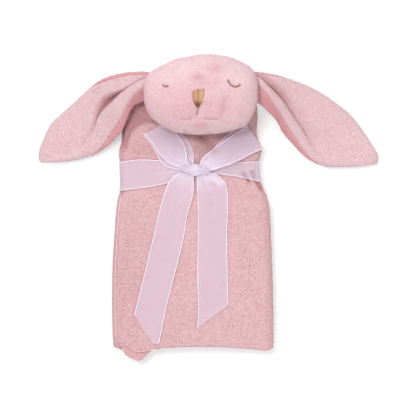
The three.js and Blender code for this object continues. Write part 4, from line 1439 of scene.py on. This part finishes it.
    def build_tails(self) -> None:
        """The two tails, down the front to their slanted cut ends."""
        left = (
            (
                (-42, 47), (-50.6, 41), (-56.7, 33.8), (-63.8, 14.5), (-72.6, -17.9), (-75.6, -31.7),
                (-101.6, -138.8), (-104.2, -148.8),
            ),
            (
                (-23.5, 47), (-22.9, 40), (-22.9, 23.2), (-26.8, 5.7), (-33.1, -17.9), (-34.8, -31.7),
                (-59.8, -135.2), (-70.9, -189),
            ),
            (
                (-104.2, -148.8), (-79, -188.6), (-70.9, -189),
            ),
        )
        right = (
            (
                (-18.6, 47), (-17.9, 40), (-16.1, -17.9), (-17.1, -98.7), (-15.5, -135.5), (-17.1, -167),
            ),
            (
                (-6, 49), (6.8, 45.3), (16.4, 38.2), (21.7, 30.4), (24.3, 14.5), (23.9, -17.9),
                (23, -31.7), (24.7, -135.5),
            ),
            (
                (-17.1, -167), (24.7, -135.5),
            ),
        )
        share, columns = np.linspace(0, 1, 90), 17
        near = np.exp(-((share / 0.14) ** 2))
        for side, edges, length, free, seed, phase in (
            (Side.LEFT, left, 0.22, ((-36, 47), (-38, 34)), 4, 0.0),
            (Side.RIGHT, right, 0.205, ((-5, 47), (-5, 34)), 6, 1.3),
        ):
            flat = between(trace(edges[0], share), trace(edges[1], share), np.linspace(0, 1, columns))
            cut_x, cut_y = np.array(edges[2]).T
            ends = [np.interp(flat[-1, :, 0], cut_x, values) for values in (cut_x, cut_y)]
            flat = flat + (np.stack(ends, axis=-1) - flat[-1])[None] * smooth(0.8, 1, share)[:, None, None]
            x, y = flat[..., 0], flat[..., 1]
            z = self.rest(x, y) + 0.5 + self.pleats(columns, near, height=1.4, count=3.2, seed=seed)
            z = z + 0.7 * np.sin(share * 9 + phase)[:, None] ** 2
            double = 0.0
            if side is Side.RIGHT:
                turned = crease(x, y, ((-12, 47), (2, 41), (15, 33)), width=9.0)
                double = 0.45 * smooth(0.6, 1, turned)
            body = side.value + "_tail"
            node = side.value + "_ribbon_tail"
            self.strip(body + "_cloth", node, body, np.stack([x, y, z], axis=-1), double, free)

    def build_loops(self) -> None:
        """The two loops: out on the cloth, round a flat fold at the end, and back above."""
        left = (
            (
                (-36, 50.8), (-50.4, 53.4), (-58.9, 55.2), (-63.8, 58.7), (-68.7, 64.3), (-73, 72.7),
                (-78.5, 82.6), (-85.6, 92.5), (-91.5, 101.3),
            ),
            (
                (-22.5, 58), (-22.9, 68.9), (-25.4, 80.6), (-30.4, 90.5), (-38.2, 99.4), (-52.4, 107.6),
                (-69.8, 111.8),
            ),
            (
                (-36, 54), (-45, 56.4), (-53.3, 59.3), (-61.7, 65.7), (-70.1, 74.1), (-78.5, 86.8),
                (-88.5, 100.2),
            ),
            (
                (-28, 56), (-31.3, 64.9), (-33.3, 78.7), (-38.2, 90.5), (-45.1, 99.4), (-58.0, 107.6),
                (-69.8, 111.8),
            ),
        )
        right = (
            (
                (-12, 57), (-2.8, 70.8), (9.1, 84.6), (22.9, 98.4), (35.9, 107.6), (51.5, 111.2),
            ),
            (
                (-5.5, 51), (3.2, 51.5), (15, 55.5), (28.8, 60.5), (42.6, 66.6), (56.4, 74), (73.1, 81),
            ),
            (
                (-14.6, 56), (-10.6, 66.8), (0.1, 75.8), (15.0, 87.5), (32.7, 99.4), (51.5, 111.2),
            ),
            (
                (-5.5, 50.7), (3.2, 51.1), (15.0, 55.0), (28.8, 59.9), (42.6, 65.9), (56.4, 73.4),
                (73.1, 80.6),
            ),
        )
        share, columns = np.linspace(0, 1, 50), 17
        near = np.exp(-((share / 0.3) ** 2))
        rise = 1.6 + 3.8 * np.sin(math.pi * np.clip(share * 1.02, 0, 1)) ** 0.8
        for side, edges, length, free, seed in (
            (Side.LEFT, left, 0.17, ((-32, 54), (-44, 60)), 7),
            (Side.RIGHT, right, 0.19, ((-8, 53), (4, 58)), 12),
        ):
            layers = []
            for k, loft in ((0, 0.0), (2, 1.0)):
                flat = between(trace(edges[k], share), trace(edges[k + 1], share), np.linspace(0, 1, columns))
                x, y = flat[..., 0], flat[..., 1]
                z = self.rest(x, y) + 0.6 + (loft * rise)[:, None]
                z = z + self.pleats(columns, near, height=1.2, count=3.4, seed=seed + k)
                layers.append(np.stack([x, y, z], axis=-1))
            outward = layers[1][-1] - layers[1][-3]
            fold = (layers[0][-1] + layers[1][-1]) / 2 + 0.12 * outward
            grid = np.concatenate([layers[0], fold[None], layers[1][::-1]], axis=0)
            body = side.value + "_loop"
            self.strip(body + "_cloth", side.value + "_bow_loop", body, grid, free=free)

    def build_knot(self) -> None:
        """The knot: a gathered turn over the middle and puffs of cloth beside it."""
        rows, columns = 72, 72
        u = np.linspace(-1, 1, rows)[:, None]
        turn = np.linspace(0, 2 * math.pi, columns, endpoint=False)[None]
        bulk = 0.5 + 0.5 * np.exp(-((u / 0.36) ** 2)) + 0.16 * np.exp(-(((np.abs(u) - 0.66) / 0.2) ** 2))
        bulk = bulk * np.sqrt(np.clip(1 - u**6, 0, 1))
        pleat = 1 + 0.09 * np.cos(11 * turn + 2.2 * u) + 0.05 * np.cos(19 * turn - 4 * u)
        low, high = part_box("ribbon_knot")
        middle, size = (low + high) / 2 / MM, (high - low) / 2 / MM
        x = middle.x + 1.25 * size.x * u + 1.4 * np.sin(turn) * u
        y = middle.y + 1.05 * size.y * bulk * pleat * np.cos(turn) - 1.5 * u
        z = middle.z + size.z * bulk * pleat * np.sin(turn)
        grid = np.stack(np.broadcast_arrays(x, y, z), axis=-1)
        flat = np.meshgrid(np.linspace(0, 0.03, rows), np.linspace(0, RIBBON_WIDTH, columns), indexing="ij")
        faces = grid_faces(rows, columns, closed=True)
        faces += [list(range(columns)), list(range((rows - 1) * columns, rows * columns))[::-1]]
        mesh = outwards(to_mesh("knot_cloth", grid, faces, np.stack(flat, axis=-1)))
        set_share(mesh, "gather", np.repeat(0.3 + 0.7 * np.exp(-((u[:, 0] / 0.42) ** 2)), columns))
        dress(link("knot_cloth", mesh, self.finishes.organza), "organza", "root", "ribbon_knot")
        LOG.info("knot_cloth: %d faces", len(mesh.polygons))


@dataclass
class Studio:
    """White table, soft light from the upper left and the camera straight above, all in metres.

    Attributes:
        view: Width of the picture.
        centre: Middle of the picture on the table.
        height: Height of the camera.
        reach: Half width of the table.
        drop: How far the table's top lies under the toy, so that the two don't flicker.
        sky: Strength of the soft light from all round.
        lamp: Strength of the lamp above.
        lamp_angle: How wide the lamp looks, in degrees, which softens its shadow.
        panel: Width and height of the two soft lights.
        softbox: Power of the wide soft light beyond the head.
        fill: Power of the soft light beyond the hem, which lifts the chin's shade.
        glow: How much of its own light the table shows to the camera.
    """

    view: float = 0.5741
    centre: Place = (-0.0028, -0.0014)
    height: float = 1.6
    reach: float = 3.0
    drop: float = 0.0002
    sky: float = 0.42
    lamp: float = 1.3
    lamp_angle: float = 16.0
    panel: tuple[float, float] = (1.8, 0.9)
    softbox: float = 14.0
    fill: float = 12.0
    glow: float = 0.42

    def build(self) -> None:
        """Sets the floor, the light and the camera."""
        scene = bpy.context.scene
        scene.view_settings.view_transform = "Standard"
        mesh = bpy.data.meshes.new("table_top")
        corners = [(x * self.reach, y * self.reach, 0) for x, y in ((-1, -1), (1, -1), (1, 1), (-1, 1))]
        mesh.from_pydata(corners, [], [(0, 1, 2, 3)])
        floor = link("table_top", mesh, self.white_table())
        floor.location.z = -self.drop
        sun = bpy.data.lights.new("lamp_above", "SUN")
        sun.energy, sun.angle = self.lamp, math.radians(self.lamp_angle)
        self.hang(sun, (-0.45, 0.42, 1.6))
        for name, power, place in (
            ("softbox", self.softbox, (-0.35, 1.35, 1.2)),
            ("fill_panel", self.fill, (0.5, -1.2, 1.1)),
        ):
            panel = bpy.data.lights.new(name, "AREA")
            panel.energy, panel.shape = power, "RECTANGLE"
            panel.size, panel.size_y = self.panel
            self.hang(panel, place)
        self.light_sky(scene)
        lens = bpy.data.cameras.new("camera")
        lens.type, lens.ortho_scale = "ORTHO", self.view
        camera = bpy.data.objects.new("camera", lens)
        camera.location = (*self.centre, self.height)
        scene.collection.objects.link(camera)
        scene.camera = camera

    def hang(self, light: bpy.types.Light, place: tuple[float, float, float]) -> None:
        """Hangs a light at a place, aimed at the toy."""
        lamp = bpy.data.objects.new(light.name, light)
        lamp.location = place
        lamp.rotation_euler = (-Vector(place)).to_track_quat("-Z", "Y").to_euler()
        bpy.context.scene.collection.objects.link(lamp)

    def white_table(self) -> bpy.types.Material:
        """Matt white table that shows as white and keeps the toy's shadow."""
        material = bpy.data.materials.new("white_table")
        material.use_nodes = True
        tree = material.node_tree
        nodes = Nodes(tree)
        shader = tree.nodes["Principled BSDF"]
        matt = {"Base Color": linear("#e6e6e6"), "Roughness": 1.0, "Specular IOR Level": 0.0}
        nodes.fill(shader, matt)
        lit = nodes.add("ShaderNodeBsdfDiffuse", {"Color": (0.6, 0.6, 0.6, 1)})[0]
        glow = nodes.add("ShaderNodeEmission", {"Color": WHITE, "Strength": self.glow})[0]
        shown = nodes.add("ShaderNodeAddShader", {0: lit, 1: glow})[0]
        mixed = nodes.add("ShaderNodeMixShader", {0: nodes.seen(), 1: shader.outputs[0], 2: shown})[0]
        nodes.fill(tree.nodes["Material Output"], {"Surface": mixed})
        return material

    def light_sky(self, scene: bpy.types.Scene) -> None:
        """Even light from all round, behind a white backdrop."""
        world = bpy.data.worlds.new("soft_room")
        world.use_nodes = True
        tree = world.node_tree
        nodes = Nodes(tree)
        shade = tree.nodes["Background"]
        nodes.fill(shade, {"Color": WHITE, "Strength": self.sky})
        white = nodes.add("ShaderNodeBackground", {"Color": WHITE, "Strength": 1.0})[0]
        mixed = nodes.add("ShaderNodeMixShader", {0: nodes.seen(), 1: shade.outputs[0], 2: white})[0]
        nodes.fill(tree.nodes["World Output"], {"Surface": mixed})
        scene.world = world


def make_ears(finishes: Finishes, trees: Trees) -> list[Ear]:
    """The left and the right ear with their own drape, in the shared finishes and trees."""
    left = Ear(
        finishes,
        trees,
        Side.LEFT,
        upper=(
            (-84, 185.2), (-93, 186.6), (-110.8, 185.6), (-128.3, 182.6), (-149, 175.5), (-166, 163),
            (-184.4, 145.7), (-204.9, 127.5), (-219.4, 113.5), (-228.4, 95.5), (-236, 72), (-236, 66),
        ),
        lower=(
            (-86, 149), (-94, 145.6), (-105.4, 140.1), (-115.6, 120.6), (-121.4, 105.7), (-128.3, 97.7),
            (-145.5, 81.7), (-162.6, 72), (-191.1, 64.8), (-214, 62.6), (-231, 62.6), (-235.4, 64.6),
        ),
        lines=(
            (0, 0.11, 0.14, 0.25, 0.5), (0.05, 0.11, 0.22, 0.32, 0.56), (0.1, 0.105, 0.33, 0.4, 0.68),
            (0.15, 0.09, 0.37, 0.44, 0.74), (0.2, 0.08, 0.36, 0.455, 0.78), (0.25, 0.07, 0.33, 0.47, 0.8),
            (0.35, 0.04, 0.28, 0.48, 0.83), (0.42, 0, 0.34, 0.5, 0.87), (0.5, -0.04, 0.48, 0.62, 0.93),
            (0.6, -0.05, 0.6, 0.74, 0.99), (0.68, -0.05, 0.62, 0.8, 1.04), (1, -0.05, 0.62, 0.8, 1.05),
        ),
        heights=(
            (0, 37.8, 39, 35, 42.5, 32.6), (0.08, 36.8, 38, 31, 42, 30), (0.14, 35.5, 36, 27, 39.5, 27.5),
            (0.28, 29, 27, 18, 32, 22), (0.42, 19.5, 18, 13.6, 19, 13), (0.52, 15, 13.6, 11.4, 13, 9.6),
            (0.6, 12.6, 11.6, 10.4, 10.6, 8.4), (0.75, 10, 9.6, 9, 9, 8), (0.88, 8, 7.8, 7.6, 7.6, 7.4),
            (1, 6, 6, 6, 6, 6),
        ),
        pocket=(
            (0, 0.2), (0.1, 0.6), (0.18, 0.9), (0.33, 0.85), (0.45, 0.5), (0.56, 0.15), (0.65, 0), (1, 0),
        ),
        fade=0.05,
        root=((-87.8, 44.0), (-117.8, 16.0)),
    )
    right = Ear(
        finishes,
        trees,
        Side.RIGHT,
        upper=(
            (57, 186.6), (66, 185.8), (80, 184), (94.3, 180.8), (120.6, 172), (147.1, 160), (173.5, 142.2),
            (193.2, 126), (212, 101.6), (224.4, 83), (231.4, 70.6), (231.8, 66),
        ),
        lower=(
            (60, 147.5), (67.6, 143), (81, 131.5), (92.9, 118.4), (100.7, 103.8), (115.4, 86.7),
            (133.9, 68.2), (151, 59.4), (167, 56), (199.8, 56.4), (226, 60), (231, 62.6),
        ),
        lines=(
            (0, 0.04, 0.06, 0.14, 0.34), (0.05, 0.04, 0.13, 0.22, 0.42), (0.1, 0.035, 0.24, 0.36, 0.54),
            (0.15, 0.03, 0.31, 0.45, 0.66), (0.2, 0.015, 0.4, 0.51, 0.745), (0.25, 0, 0.45, 0.56, 0.775),
            (0.35, -0.04, 0.56, 0.65, 0.84), (0.45, -0.05, 0.64, 0.74, 0.91),
            (0.55, -0.05, 0.7, 0.84, 0.965), (0.64, -0.05, 0.72, 0.88, 1.01),
            (0.7, -0.05, 0.72, 0.88, 1.04), (1, -0.05, 0.72, 0.88, 1.05),
        ),
        heights=(
            (0, 37.8, 39, 36, 42.5, 32.6), (0.06, 37.4, 38.6, 31, 42, 30), (0.14, 35.5, 34, 25, 38, 22),
            (0.28, 28, 24, 18, 27, 12), (0.42, 20, 16, 13.2, 17.4, 9), (0.55, 15.6, 12.4, 11, 12.6, 8.4),
            (0.65, 13, 10.6, 9.6, 10.8, 8.2), (0.75, 10.6, 9.4, 8.8, 9.2, 8),
            (0.88, 8.2, 7.8, 7.6, 7.6, 7.4), (1, 6, 6, 6, 6, 6),
        ),
        pocket=(
            (0, 0.2), (0.06, 0.8), (0.16, 0.95), (0.25, 0.7), (0.35, 0.4), (0.5, 0.2), (0.6, 0), (1, 0),
        ),
        fade=0.25,
        root=((62.0, 44.0), (92.0, 16.0)),
    )
    return [left, right]


def main() -> None:
    """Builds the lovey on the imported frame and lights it."""
    logging.basicConfig(level=logging.INFO, format="%(message)s")
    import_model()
    finishes, trees, bundle = Finishes(), Trees(), Bundle()
    Studio().build()
    Blanket(bundle, finishes, trees).build()
    Head(bundle, finishes, trees).build()
    for ear in make_ears(finishes, trees):
        ear.build()
    Ribbon(bundle, finishes, trees).build()


if __name__ == "__main__":
    main()
